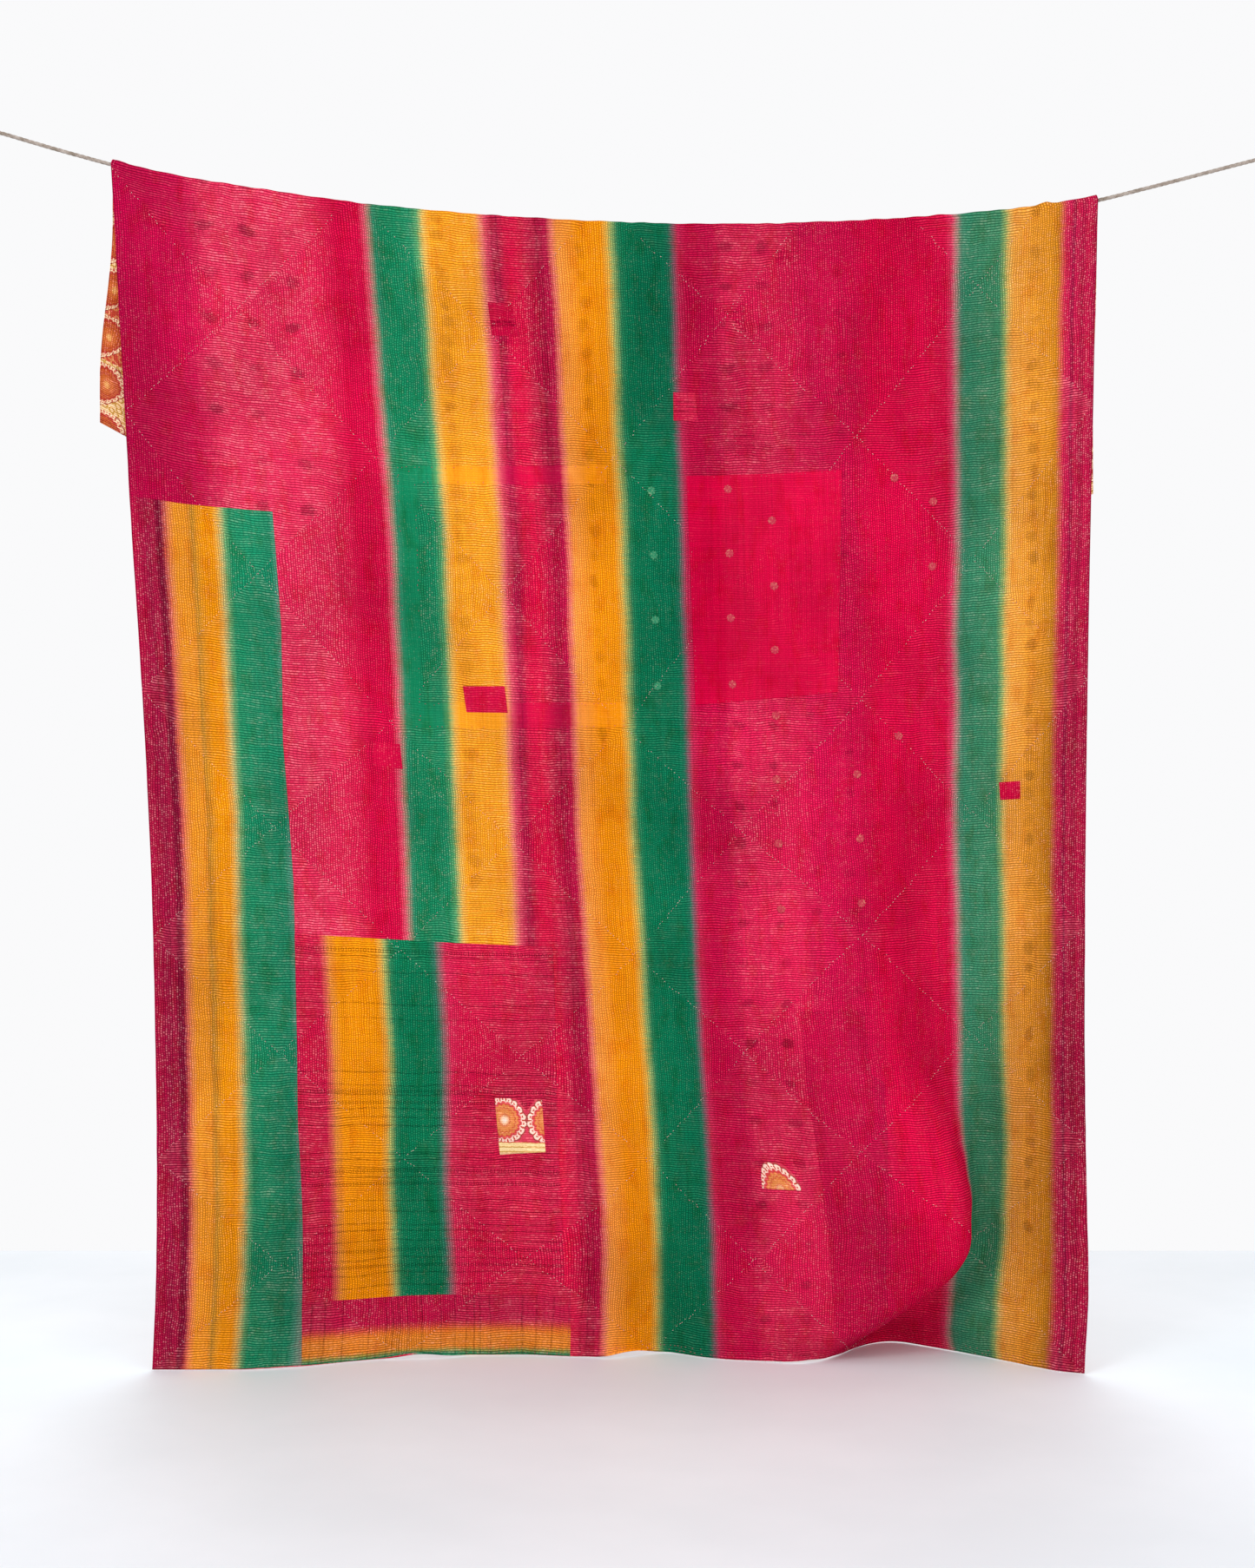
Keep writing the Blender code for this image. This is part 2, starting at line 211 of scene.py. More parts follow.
def warped(tree: Tree, place: Socket, scale: float, detail: float, reach: float) -> Socket:
    """Moves a place about by up to half the reach, as noise says.

    Args:
        tree: the node tree.
        place: the place.
        scale: the noise's scale.
        detail: its detail.
        reach: the reach, in metres.

    Returns:
        The moved place.
    """
    drift = add(tree, "TexNoise 2D", {"Vector": place, "Scale": scale, "Detail": detail}, "Color")
    drift = add(tree, "VectorMath SUBTRACT", (drift, (0.5, 0.5, 0.5)))
    drift = add(tree, "VectorMath SCALE", {0: drift, 3: reach})
    return add(tree, "VectorMath ADD", (place, drift))


def mottled(tree: Tree, colour: Socket, noise: Socket, low: float, high: float) -> Socket:
    """Makes a colour darker and lighter by noise, between two strengths."""
    strength = add(tree, "MapRange", (noise, 0.3, 0.7, low, high))
    return add(tree, "VectorMath SCALE", {0: colour, 3: strength})


def through(places: Array, values: Array, at: Array) -> Array:
    """Reads the smooth curve through values at places.

    Between two places it is the cubic that meets both values with the slopes of a central difference.

    Args:
        places: where the values stand, rising.
        values: one value, or one row of values, for each place.
        at: where to read.

    Returns:
        A value or a row for each place read.
    """
    places = np.asarray(places, float)
    values = np.asarray(values, float)
    at = np.asarray(at, float)
    slopes = np.gradient(values, places, axis=0)
    left = np.clip(np.searchsorted(places, at, side="right") - 1, 0, len(places) - 2)
    spread = (slice(None),) + (None,) * (values.ndim - 1)
    gap = (places[left + 1] - places[left])[spread]
    t = (at - places[left])[spread] / gap
    from_left = (1 + 2 * t) * (1 - t) ** 2 * values[left] + t * (1 - t) ** 2 * gap * slopes[left]
    from_right = t**2 * (3 - 2 * t) * values[left + 1] + t**2 * (t - 1) * gap * slopes[left + 1]
    return from_left + from_right


def running_total(values: Array, step: float) -> Array:
    """Sums trapezia along each row: the integral from its start to each place."""
    trapezia = (values[:, 1:] + values[:, :-1]) / 2 * step
    return np.concatenate([np.zeros((len(values), 1)), np.cumsum(trapezia, axis=1)], axis=1)


def subdivided(stops: tuple[float, ...], steps: tuple[float, ...]) -> Array:
    """Puts even steps between stops.

    Args:
        stops: rising places that all stay.
        steps: the longest step for each stretch between two stops.

    Returns:
        All places, rising.
    """
    counts = [math.ceil((end - start) / step - 1e-6) for start, end, step in zip(stops, stops[1:], steps)]
    runs = [np.linspace(a, b, n, endpoint=False) for a, b, n in zip(stops, stops[1:], counts)]
    return np.concatenate([*runs, [stops[-1]]])


def unit(vectors: Array) -> Array:
    """Scales vectors to length 1."""
    return vectors / np.maximum(np.linalg.norm(vectors, axis=-1, keepdims=True), 1e-12)


def eased(t: Array) -> Array:
    """Rises smoothly from 0 to 1 as t does: 3 t squared less 2 t cubed, held at its ends."""
    t = np.clip(t, 0.0, 1.0)
    return t * t * (3 - 2 * t)


def grid_quads(rows: int, columns: int, first: int = 0, flip: bool = False) -> Array:
    """Numbers the corners of a grid's faces.

    Args:
        rows: points down.
        columns: points across.
        first: number of the first point.
        flip: turns the faces over.

    Returns:
        Four point numbers for each face, row by row.
    """
    corner = first + np.arange(rows - 1)[:, None] * columns + np.arange(columns - 1)
    quads = np.stack([corner, corner + columns, corner + columns + 1, corner + 1], axis=-1).reshape(-1, 4)
    return quads[:, ::-1] if flip else quads


def grid_rim(rows: int, columns: int) -> Array:
    """Numbers the points round a grid's border, once round, with the first row first.

    Args:
        rows: points down.
        columns: points across.

    Returns:
        The point numbers.
    """
    top = np.arange(columns)
    right = np.arange(1, rows) * columns + columns - 1
    bottom = (rows - 1) * columns + np.arange(columns - 2, -1, -1)
    left = np.arange(rows - 2, 0, -1) * columns
    return np.concatenate([top, right, bottom, left])


def ring_faces(rings: int, sides: int) -> Array:
    """Numbers the corners of the faces between rings of points, ring by ring.

    Args:
        rings: how many rings there are.
        sides: points in a ring.

    Returns:
        Four point numbers for each face.
    """
    k = np.arange(sides)
    after = (k + 1) % sides
    lower = np.arange(rings - 1)[:, None] * sides
    upper = lower + sides
    return np.stack([lower + k, lower + after, upper + after, upper + k], axis=-1).reshape(-1, 4)


def ring_caps(rings: int, sides: int, first: int, last: int) -> Array:
    """Numbers the triangles that close a stack of rings on two points, first below it and last above.

    Args:
        rings: how many rings there are.
        sides: points in a ring.
        first: number of the point below the first ring.
        last: number of the point above the last one.

    Returns:
        Three point numbers for each triangle.
    """
    k = np.arange(sides)
    after = (k + 1) % sides
    end = (rings - 1) * sides
    ends = ((np.full(sides, first), after, k), (np.full(sides, last), end + k, end + after))
    return np.concatenate([np.stack(corners, axis=1) for corners in ends])


def new_piece(
    name: str,
    points: Array,
    faces: list[Array],
    finishes: list[Material],
    finish_of_face: Array | None = None,
    maps: dict[str, Array] | None = None,
) -> Piece:
    """Makes a mesh object at the origin, shaded smooth.

    Args:
        name: the piece's name.
        points: its points, n by 3.
        faces: arrays of point numbers, each with one kind of face.
        finishes: its materials.
        finish_of_face: number of the material on each face, all 0 if left out.
        maps: for each UV map its places, one row for each face corner.

    Returns:
        The object, linked to the scene.
    """
    mesh = bpy.data.meshes.new(name)
    mesh.from_pydata(points.reshape(-1, 3).tolist(), [], [face for group in faces for face in group.tolist()])
    mesh.shade_smooth()
    for finish in finishes:
        mesh.materials.append(finish)
    if finish_of_face is not None:
        mesh.polygons.foreach_set("material_index", finish_of_face.astype(np.int32))
    for map_name, places in (maps or {}).items():
        mesh.uv_layers.new(name=map_name).data.foreach_set("uv", places.astype(np.float32).ravel())
    mesh.update()
    made = bpy.data.objects.new(name, mesh)
    bpy.context.scene.collection.objects.link(made)
    LOG.info("%s: %d faces", name, len(mesh.polygons))
    return made


def carried(piece: Piece, slot: Slot, *nodes: str) -> Piece:
    """Makes a piece ride with the part, and hides the solids that it stands for.

    Args:
        piece: the piece.
        slot: its material slot; not used.
        nodes: the solids, if any.

    Returns:
        The same piece.
    """
    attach(piece, "root")
    if nodes:
        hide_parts(*nodes)
    return piece


@dataclass
class RopeRoute:
    """The line that the rope takes between its knots, in the plane of the two eyes."""

    plate_to_plate: float = float(CAD_HIGH.x)
    right_eye_drop: float = 0.045
    bow_reach: float = 0.035
    knot_end: float = 0.0625
    touch_gap: float = 0.0003
    diameter: float = 0.006
    # Distance from the left plate's back, height
    places: tuple[tuple[float, float], ...] = (
        (0.140, -0.030), (0.225, -0.055), (0.312, -0.079), (0.380, -0.097), (0.487, -0.116), (0.593, -0.132),
        (0.700, -0.147), (0.860, -0.162), (1.020, -0.172), (1.153, -0.177), (1.287, -0.178), (1.420, -0.174),
        (1.553, -0.167), (1.660, -0.158), (1.747, -0.148), (1.824, -0.134), (1.897, -0.116), (2.047, -0.077),
    )

    def eyes(self) -> list[tuple[Array, Array]]:
        """Gives for each side the middle of the bow's bar and the rope's direction away from it."""
        out = []
        for bow, toward in (
            ((self.bow_reach, 0.0, 0.0), self.places[0]),
            ((self.plate_to_plate - self.bow_reach, 0.0, -self.right_eye_drop), self.places[-1]),
        ):
            middle = np.array(bow)
            out.append((middle, unit(np.array([toward[0], 0.0, toward[1]]) - middle)))
        return out

    def curve(self) -> tuple[Array, Array]:
        """Gives the points that the route passes through from knot to knot, as distances and heights."""
        ends = [bow + way * (self.knot_end + self.touch_gap) for bow, way in self.eyes()]
        places = [(ends[0][0], ends[0][2]), *self.places, (ends[1][0], ends[1][2])]
        x, z = np.array(places).T
        return x, z

    def points(self, step: float) -> Array:
        """Walks the route in even steps along X.

        Args:
            step: the longest step.

        Returns:
            Points, n by 3.
        """
        x, z = self.curve()
        along = np.linspace(x[0], x[-1], math.ceil((x[-1] - x[0]) / step) + 1)
        return np.stack([along, np.zeros_like(along), through(x, z, along)], axis=1)


@dataclass
class Drape:
    """The middle surface of the hanging cloth, in the same sizes as its solid.

    Places on the flat cloth are u, across from the left edge, and v, down from the rope: it rises to
    front_length at the front hem, and falls below 0 behind the rope.
    """

    route: RopeRoute = field(default_factory=RopeRoute)
    width: float = 1.54
    length: float = 2.26
    thickness: float = 0.0025
    front_length: float = 1.80
    clearance: float = 0.002
    floor: float = -1.926
    hem_above_floor: float = 0.002
    left: float = 0.312
    right: float = 1.824
    rope_samples: int = 80
    arc_samples: int = 400
    # Lines of the weave across the flat cloth, and where they hang at shares of the drop, in millimetres:
    # share, each line, the right edge
    lines: tuple[float, ...] = (0.00, 0.20, 0.40, 0.56, 0.69, 0.785, 0.873, 0.98)
    lines_x_mm: tuple = (
        (0.25, (338, 536, 735, 889, 1010, 1100, 1183, 1286), 1813),
        (0.57, (374, 566, 760, 911, 1032, 1121, 1201, 1300), 1802),
        (0.76, (384, 577, 770, 922, 1054, 1143, 1220, 1319), 1799),
        (0.885, (385, 580, 769, 924, 1068, 1154, 1232, 1340), 1802),
        (0.93, (384, 577, 770, 926, 1070, 1156, 1234, 1341), 1803),
        (1.00, (378, 568, 768, 925, 1066, 1155, 1236, 1342), 1796),
    )
    lines_back_mm: tuple = (
        (0.25, (-8, 0, 12, 12, 12, 14, 10, 10), -10),
        (0.57, (-15, 5, 30, 35, 30, 40, 30, 15), -20),
        (0.76, (-20, 0, 40, 50, 45, 60, 35, 10), -30),
        (0.885, (-20, 0, 50, 55, 45, 70, 40, 0), -35),
        (0.93, (-20, -5, 55, 60, 50, 80, 45, 10), -35),
        (1.00, (-20, -5, 56, 66, 55, 86, 46, 24), -40),
    )
    # The swell: share of the drop, where it turns back across the cloth, half width, degrees
    swell_rows: tuple = (
        (0.00, 1.220, 0.100, 0),
        (0.25, 1.200, 0.090, 6),
        (0.57, 1.215, 0.095, 22),
        (0.76, 1.265, 0.070, 42),
        (0.87, 1.308, 0.048, 84),
        (0.91, 1.297, 0.047, 94),
        (0.94, 1.248, 0.047, 94),
        (0.97, 1.174, 0.058, 80),
        (1.00, 1.105, 0.095, 56),
    )
    swell_steps: int = 280
    swell_lead_in: float = 0.06
    swell_return_after: float = 1.1
    swell_return_soft: float = 0.05
    edge_slope_share: float = 0.6
    steepest: float = 0.9
    back_drift_left: float = 0.019
    back_drift_right: float = 0.006
    back_drift_start: float = 0.09
    back_drift_end: float = 0.33
    back_gap: float = 0.010
    back_gap_settles: float = 0.10

    @property
    def fold_radius(self) -> float:
        """Distance from the rope's centre line to the middle of the cloth's thickness."""
        return self.route.diameter / 2 + self.clearance + self.thickness / 2

    @property
    def hem_height(self) -> float:
        """Height of the front hem."""
        return self.floor + self.hem_above_floor

    def fold_line(self, across: Array) -> tuple[Array, Array, Array]:
        """Finds the rope under places across the cloth.

        The cloth's width is laid along the rope's arc from the left edge to the right one.

        Args:
            across: places across the flat cloth.

        Returns:
            The rope's distance from the left plate's back, its height and its slope there.
        """
        x, z = self.route.curve()
        smooth_x = np.linspace(x[0], x[-1], self.rope_samples)
        smooth_z = through(x, z, smooth_x)
        dense_x = np.linspace(self.left, self.right, self.arc_samples)
        dense_z = through(smooth_x, smooth_z, dense_x)
        along = np.concatenate([[0.0], np.cumsum(np.hypot(np.diff(dense_x), np.diff(dense_z)))])
        rope_x = np.interp(across / self.width * along[-1], along, dense_x)
        slope = np.interp(rope_x, dense_x, np.gradient(dense_z, dense_x))
        return rope_x, through(smooth_x, smooth_z, rope_x), slope

    def hung(self, share: Array, across: Array | None = None) -> list[Array]:
        """Reads x and y, each share by across, off the tables of lines.

        Args:
            share: shares of the drop.
            across: places across the flat cloth, up to the last line, or none for its right edge.

        Returns:
            x, then y.
        """
        rope_x = self.fold_line(np.array([self.width]) if across is None else across)[0]
        out = []
        for rows, at_rope in ((self.lines_x_mm, rope_x), (self.lines_back_mm, rope_x * 0 - self.fold_radius)):
            read = [[edge] if across is None else through(self.lines, line, across) for _, line, edge in rows]
            values = np.stack([at_rope, *(np.array(row) * MM for row in read)])
            out.append(through([0.0] + [level for level, _, _ in rows], values, share))
        return out

    def swell(self, share: Array) -> tuple[Array, Array, Array]:
        """Draws the cloth from the last line to its right edge.

        Each level is drawn by its heading: it leads on from the last line, turns back by a bell curve of
        the swell's angle, and comes forwards again to the right edge. What is left over is spread there.

        Args:
            share: shares of the drop.

        Returns:
            Places across, then x and y as share by place.
        """
        places = np.linspace(self.lines[-1], self.width, self.swell_steps + 1)
        step = places[1] - places[0]
        table = np.array(self.swell_rows)
        turn, half_width, angle = through(table[:, 0], table[:, 1:], share).T[:, :, None]
        line_x, line_y = self.hung(share, np.array([self.lines[-1] - step, self.lines[-1]]))
        start_x, start_y = line_x[:, 1:], line_y[:, 1:]
        start_heading = np.arctan2(np.diff(line_y), np.diff(line_x))
        edge_x, edge_y = self.hung(share)

        lead = start_heading * np.exp(-(places - self.lines[-1]) / self.swell_lead_in)
        turned = np.radians(angle) * np.exp(-(((places - turn) / half_width) ** 2))
        too_far_back = start_y + running_total(np.sin(lead + turned), step)[:, -1:] - edge_y

        past_turn = places - turn - self.swell_return_after * half_width
        starts = np.clip(past_turn / self.swell_return_soft + 0.5, 0.0, 1.0)
        ends = np.clip((self.width - places) / self.swell_return_soft, self.edge_slope_share, 1.0)
        slope = starts * ends
        slope /= slope.sum(axis=1, keepdims=True) * step
        heading = lead + turned - np.arcsin(np.clip(too_far_back * slope, -self.steepest, self.steepest))

        x = start_x + running_total(np.cos(heading), step)
        y = start_y + running_total(np.sin(heading), step)
        t = (places - self.lines[-1]) / (self.width - self.lines[-1])
        return places, x + t**2 * (edge_x - x[:, -1:]), y + t * (edge_y - y[:, -1:])

    def front(self, across: Array, share: Array) -> Array:
        """Points of the front, share by across by 3; share runs from 0 at the rope to 1 at the hem.

        Args:
            across: places across the flat cloth.
            share: shares of the drop.

        Returns:
            The points.
        """
        parts = self.hung(share, across[across <= self.lines[-1]])
        swelling = across[across > self.lines[-1]]
        places, swell_x, swell_y = self.swell(share)
        for i, values in enumerate((swell_x, swell_y)):
            read = np.array([np.interp(swelling, places, row) for row in values])
            parts[i] = np.concatenate([parts[i], read.reshape(len(share), -1)], axis=1)
        rope_z = self.fold_line(across)[1]
        z = rope_z + (self.hem_height - rope_z) * share[:, None]
        return np.stack([parts[0], parts[1], z], axis=-1)

    def over_the_rope(self, across: Array, steps: int) -> Array:
        """Points of the half turn over the rope: a circle's sine and cosine, leaned with the rope's slope.

        Args:
            across: places across the flat cloth.
            steps: steps round the half turn.

        Returns:
            The points between the two ends of the turn, step by across by 3.
        """
        rope_x, rope_z, slope = self.fold_line(across)
        angle = np.linspace(0.0, math.pi, steps + 1)[1:-1, None]
        lean = np.arctan(slope)
        lift = self.fold_radius * np.sin(angle)
        x = rope_x - lift * np.sin(lean)
        y = np.broadcast_to(-self.fold_radius * np.cos(angle), x.shape)
        return np.stack([x, y, rope_z + lift * np.cos(lean)], axis=-1)

    def flap_length(self, across: Array) -> Array:
        """Length of the flap behind the rope: what the fold and the front's drop leave over."""
        drop = self.fold_line(across)[1] - self.hem_height
        return self.length - math.pi * self.fold_radius - drop

    def flap(self, across: Array, share: Array) -> Array:
        """Points of the flap behind the rope, share by across by 3.

        It follows the front a small gap behind it, and drifts sideways by an eased step.

        Args:
            across: places across the flat cloth.
            share: shares of the flap's length, from 0 at the rope.

        Returns:
            The points.
        """
        rope_x, rope_z, _ = self.fold_line(across)
        length = self.flap_length(across)
        below = share[:, None] * length
        drift = self.back_drift_left + (self.back_drift_right - self.back_drift_left) * across / self.width
        t = (below - self.back_drift_start) / (self.back_drift_end - self.back_drift_start)
        in_front = self.front(across, share * np.mean(length / (rope_z - self.hem_height)))[..., 1]
        settled = np.clip(below / self.back_gap_settles, 0.0, 1.0)
        y = in_front + 2 * self.fold_radius + (self.back_gap - 2 * self.fold_radius) * settled
        return np.stack([rope_x - drift * eased(t), y, rope_z - below], axis=-1)


@dataclass
class QuiltBlocks:
    """How the running stitch is laid out: concentric squares, in columns and rows of blocks."""

    columns: tuple[float, ...] = (0.0, 0.385, 0.770, 1.155, 1.54)
    # The third border swings to the left near the hem: how far, from and to which height, how wide round it
    swing: float = 0.041
    swing_from: float = 0.95
    swing_to: float = 1.45
    swing_width: float = 0.20
    # Where the diagonals start below the rope
    first_stitch: float = 0.004
    # Heights of the block borders below the rope at each border between columns; above 0 is the flap
    rows: tuple[tuple[float, ...], ...] = (
        (-0.42, -0.42, -0.42, -0.45, -0.45),
        (0.005, -0.017, -0.035, -0.107, -0.110),
        (0.372, 0.385, 0.365, 0.330, 0.315),
        (0.787, 0.800, 0.790, 0.746, 0.740),
        (1.155, 1.155, 1.155, 1.120, 1.120),
        (1.485, 1.485, 1.485, 1.460, 1.450),
        (1.80, 1.80, 1.80, 1.80, 1.80),
    )

    def inside(self, u: Array, v: Array, middle_u: Array, middle_v: Array) -> Array:
        """Places inside the block that holds each face's middle.

        Args:
            u: places across.
            v: places down.
            middle_u: the faces' middles across.
            middle_v: the faces' middles down.

        Returns:
            Two values a place, from -1 to 1 from border to border.
        """
        u, middle_u = u + self.swung(u, v), middle_u + self.swung(middle_u, middle_v)
        column = np.clip(np.searchsorted(self.columns, middle_u, side="right") - 1, 0, len(self.columns) - 2)
        left, right = np.array(self.columns)[column], np.array(self.columns)[column + 1]
        borders = np.array([np.interp(middle_u, self.columns, row) for row in self.rows])
        row = np.clip((borders <= middle_v).sum(axis=0) - 1, 0, len(self.rows) - 2)
        borders = np.array([np.interp(u, self.columns, border) for border in self.rows])
        low = np.take_along_axis(borders, np.broadcast_to(row, u.shape)[None], axis=0)[0]
        high = np.take_along_axis(borders, np.broadcast_to(row + 1, u.shape)[None], axis=0)[0]
        across = (u - (left + right) / 2) / ((right - left) / 2)
        down = (v - (low + high) / 2) / ((high - low) / 2)
        return np.stack([across, down], axis=-1)

    def diagonals(self) -> list[Array]:
        """Gives the parts of the blocks' diagonals that lie on the front, as points u and v.

        Returns:
            The lines.
        """
        out = []
        share = np.linspace(0, 1, 60)
        for k in range(len(self.columns) - 1):
            for high, low in zip(self.rows, self.rows[1:]):
                for start, end in ((high[k], low[k + 1]), (low[k], high[k + 1])):
                    u = self.columns[k] + (self.columns[k + 1] - self.columns[k]) * share
                    line = np.stack([u, start + (end - start) * share], axis=1)
                    out.append(line[line[:, 1] > self.first_stitch])
        lines = [line for line in out if len(line) > 1]
        return [np.stack([line[:, 0] - self.swung(*line.T), line[:, 1]], axis=1) for line in lines]

    def swung(self, u: Array, v: Array) -> Array:
        """Tells how far the borders are pushed aside at places: a bell across, eased in over the height."""
        bell = np.exp(-(((u - self.columns[3]) / self.swing_width) ** 2))
        return self.swing * bell * eased((v - self.swing_from) / (self.swing_to - self.swing_from))


@dataclass
class ClothSurface:
    """The cloth's outer face with its puckers and creases, as a grid that other pieces are laid on."""

    drape: Drape
    across_stops: tuple[float, ...] = (0.0, 1.00, 1.40, 1.54)
    across_steps: tuple[float, ...] = (0.0088, 0.0065, 0.0088)
    down_stops: tuple[float, ...] = (0.0, 0.60, 0.975, 1.0)
    down_steps: tuple[float, ...] = (0.0061, 0.0047, 0.0019)
    flap_steps: int = 31
    fold_steps: int = 10
    # Waves: their typical height, their lengths, the directions for each length, and how they bend
    pucker: float = 0.0011
    waves: tuple[float, ...] = (0.36, 0.24, 0.17, 0.12, 0.088, 0.066, 0.050, 0.040)
    directions: int = 3
    bend: float = 0.35
    bend_length: float = 0.5
    # Creases: across and down at the start, then at the end, half width, height, in millimetres
    creases: tuple = (
        (1037, 1150, 1066, 1760, 9, -2.2),
        (1052, 1200, 1084, 1740, 10, 1.8),
        (905, 1220, 940, 1770, 14, 1.6),
        (1190, 1180, 1240, 1500, 12, -1.8),
        (120, 1500, 90, 1800, 22, 2.5),
        (640, 60, 650, 1750, 16, -1.2),
        (300, 1560, 330, 1800, 24, 2.2),
        (820, 1500, 800, 1800, 26, 2.4),
        (1440, 300, 1450, 1500, 18, -1.2),
        (60, 120, 40, 700, 20, 1.4),
        (1458, 12, 1430, 90, 8, 2.0),
        (480, 1000, 470, 1160, 12, 1.2),
    )
    crease_ends: float = 0.2
    # How far from the rope the waves and creases set in, over how long, and their share behind it
    calm_reach: float = 0.03
    calm_soft: float = 0.08
    flap_relief: float = 0.6
    # Where the cloth is pinched up on the rope: middle across, half width, height in millimetres
    pinches: tuple = ((1.460, 0.010, 4.5), (0.452, 0.012, 1.6), (0.980, 0.010, 1.4), (1.290, 0.012, 1.6))
    # Where the hem curls up: middle across, half width, how far it turns in degrees
    curls: tuple = ((0.415, 0.055, 75), (0.735, 0.050, 80), (1.02, 0.06, 35), (0.20, 0.08, 25))
    curl_radius: float = 0.006
    curl_start: float = 0.012
    curl_forwards: float = 0.9
    curl_up: float = 0.8
    # The cloth's top on the rope: how far down its middle lies, its reach and the height of its bumps
    top_down: float = -0.012
    top_reach: float = 0.022
    top_bump: float = 0.0016

    def __post_init__(self) -> None:
        """Works out the grid's places, points and normals."""
        drape = self.drape
        self.u = subdivided(self.across_stops, self.across_steps)
        share = subdivided(self.down_stops, self.down_steps)
        flap_share = np.linspace(0.0, 1.0, self.flap_steps + 1)
        flap = drape.flap(self.u, flap_share)[::-1]
        fold = drape.over_the_rope(self.u, self.fold_steps)[::-1]
        front = drape.front(self.u, share)
        base = np.concatenate([flap, fold, front])
        flap_length = float(np.mean(drape.flap_length(self.u)))
        arc = math.pi * drape.fold_radius
        fold_v = -np.linspace(0.0, arc, self.fold_steps + 1)[1:-1][::-1]
        self.v = np.concatenate([-(arc + flap_share[::-1] * flap_length), fold_v, share * drape.front_length])
        normals = self.normals_of(base)
        relief, sideways = self.relief()
        self.middle = base + normals * relief[..., None] + sideways
        self.normal = self.normals_of(self.middle)
        self.outer = self.middle + self.normal * (drape.thickness / 2)

    @staticmethod
    def normals_of(points: Array) -> Array:
        """Finds outward normals: the cross product of the slopes down and across."""
        down = np.gradient(points, axis=0)
        across = np.gradient(points, axis=1)
        return unit(np.cross(down, across))

    def relief(self) -> tuple[Array, Array]:
        """Works out how far the cloth stands off its smooth drape.

        It is a sum of sine waves in seeded directions, the creases as bells across their lines, a bumpy top
        over the rope and the hem's curl.

        Returns:
            The height along the normal, rows by columns, and the hem's shift, rows by columns by 3.
        """
        v, u = np.meshgrid(self.v, self.u, indexing="ij")
        rng = np.random.default_rng(SEED)
        total = np.zeros_like(u)
        for wave_length in self.waves:
            for _ in range(self.directions):
                angle = rng.uniform(0, math.pi)
                phase = rng.uniform(0, 2 * math.pi, 2)
                along = u * math.cos(angle) + v * math.sin(angle)
                beside = u * math.sin(angle) - v * math.cos(angle)
                bend = self.bend * np.sin(2 * math.pi * beside / self.bend_length + phase[1])
                total += wave_length**0.6 * np.sin(2 * math.pi * along / wave_length + phase[0] + bend)
        total *= self.pucker / total.std()
        for start_u, start_v, end_u, end_v, half_width, height in self.creases:
            start = np.array([start_u, start_v]) * MM
            way = np.array([end_u, end_v]) * MM - start
            long = np.hypot(*way)
            along = ((u - start[0]) * way[0] + (v - start[1]) * way[1]) / long**2
            beside = ((u - start[0]) * way[1] - (v - start[1]) * way[0]) / long / (half_width * MM)
            ends = eased(along / self.crease_ends) * eased((1 - along) / self.crease_ends)
            total += height * MM * ends * np.exp(-(beside**2))
        from_rope = np.abs(v + math.pi * self.drape.fold_radius / 2)
        clear_of_rope = eased((from_rope - self.calm_reach) / self.calm_soft)
        total *= np.where(v > 0, clear_of_rope, clear_of_rope * self.flap_relief)
        bumps = 0.5 + 0.5 * np.sin(u * 118 + 1.3 * np.sin(u * 31)) * np.sin(u * 43 + 0.7)
        near_top = np.exp(-(((v - self.top_down) / self.top_reach) ** 2))
        pinched = sum(height * MM * np.exp(-(((u - at) / half) ** 2)) for at, half, height in self.pinches)
        total += (self.top_bump * bumps + pinched) * near_top
        return total, self.hem_curl(u, v)

    def hem_curl(self, u: Array, v: Array) -> Array:
        """Shifts the last strip of the front so that it rolls forwards and up on a small circle.

        Args:
            u: places across.
            v: places down.

        Returns:
            A shift for each place: forwards by the sine of its turn, and up by one less the turn's cosine.
        """
        turn = sum(
            math.radians(angle) * np.exp(-(((u - middle) / half) ** 2)) for middle, half, angle in self.curls
        )
        below = np.clip(v - (self.drape.front_length - self.curl_start), 0.0, None)
        angle = np.minimum(below / self.curl_radius, 2.0) * turn / 2.0
        forwards = below * np.sin(angle) * self.curl_forwards
        up = below * (1 - np.cos(angle)) * self.curl_up
        return np.stack([np.zeros_like(u), -forwards, up], axis=-1)

    def at(self, u: Array, v: Array) -> tuple[Array, Array]:
        """Reads the outer face between the grid's points, straight from one to the next.

        Args:
            u: places across.
            v: places down.

        Returns:
            Points and unit normals, each with a last axis of 3.
        """
        i = np.clip(np.searchsorted(self.v, v, side="right") - 1, 0, len(self.v) - 2)
        j = np.clip(np.searchsorted(self.u, u, side="right") - 1, 0, len(self.u) - 2)
        t = ((v - self.v[i]) / (self.v[i + 1] - self.v[i]))[..., None]
        s = ((u - self.u[j]) / (self.u[j + 1] - self.u[j]))[..., None]
        out = []
        for grid in (self.outer, self.normal):
            upper = grid[i, j] * (1 - s) + grid[i, j + 1] * s
            lower = grid[i + 1, j] * (1 - s) + grid[i + 1, j + 1] * s
            out.append(upper * (1 - t) + lower * t)
        return out[0], unit(out[1])


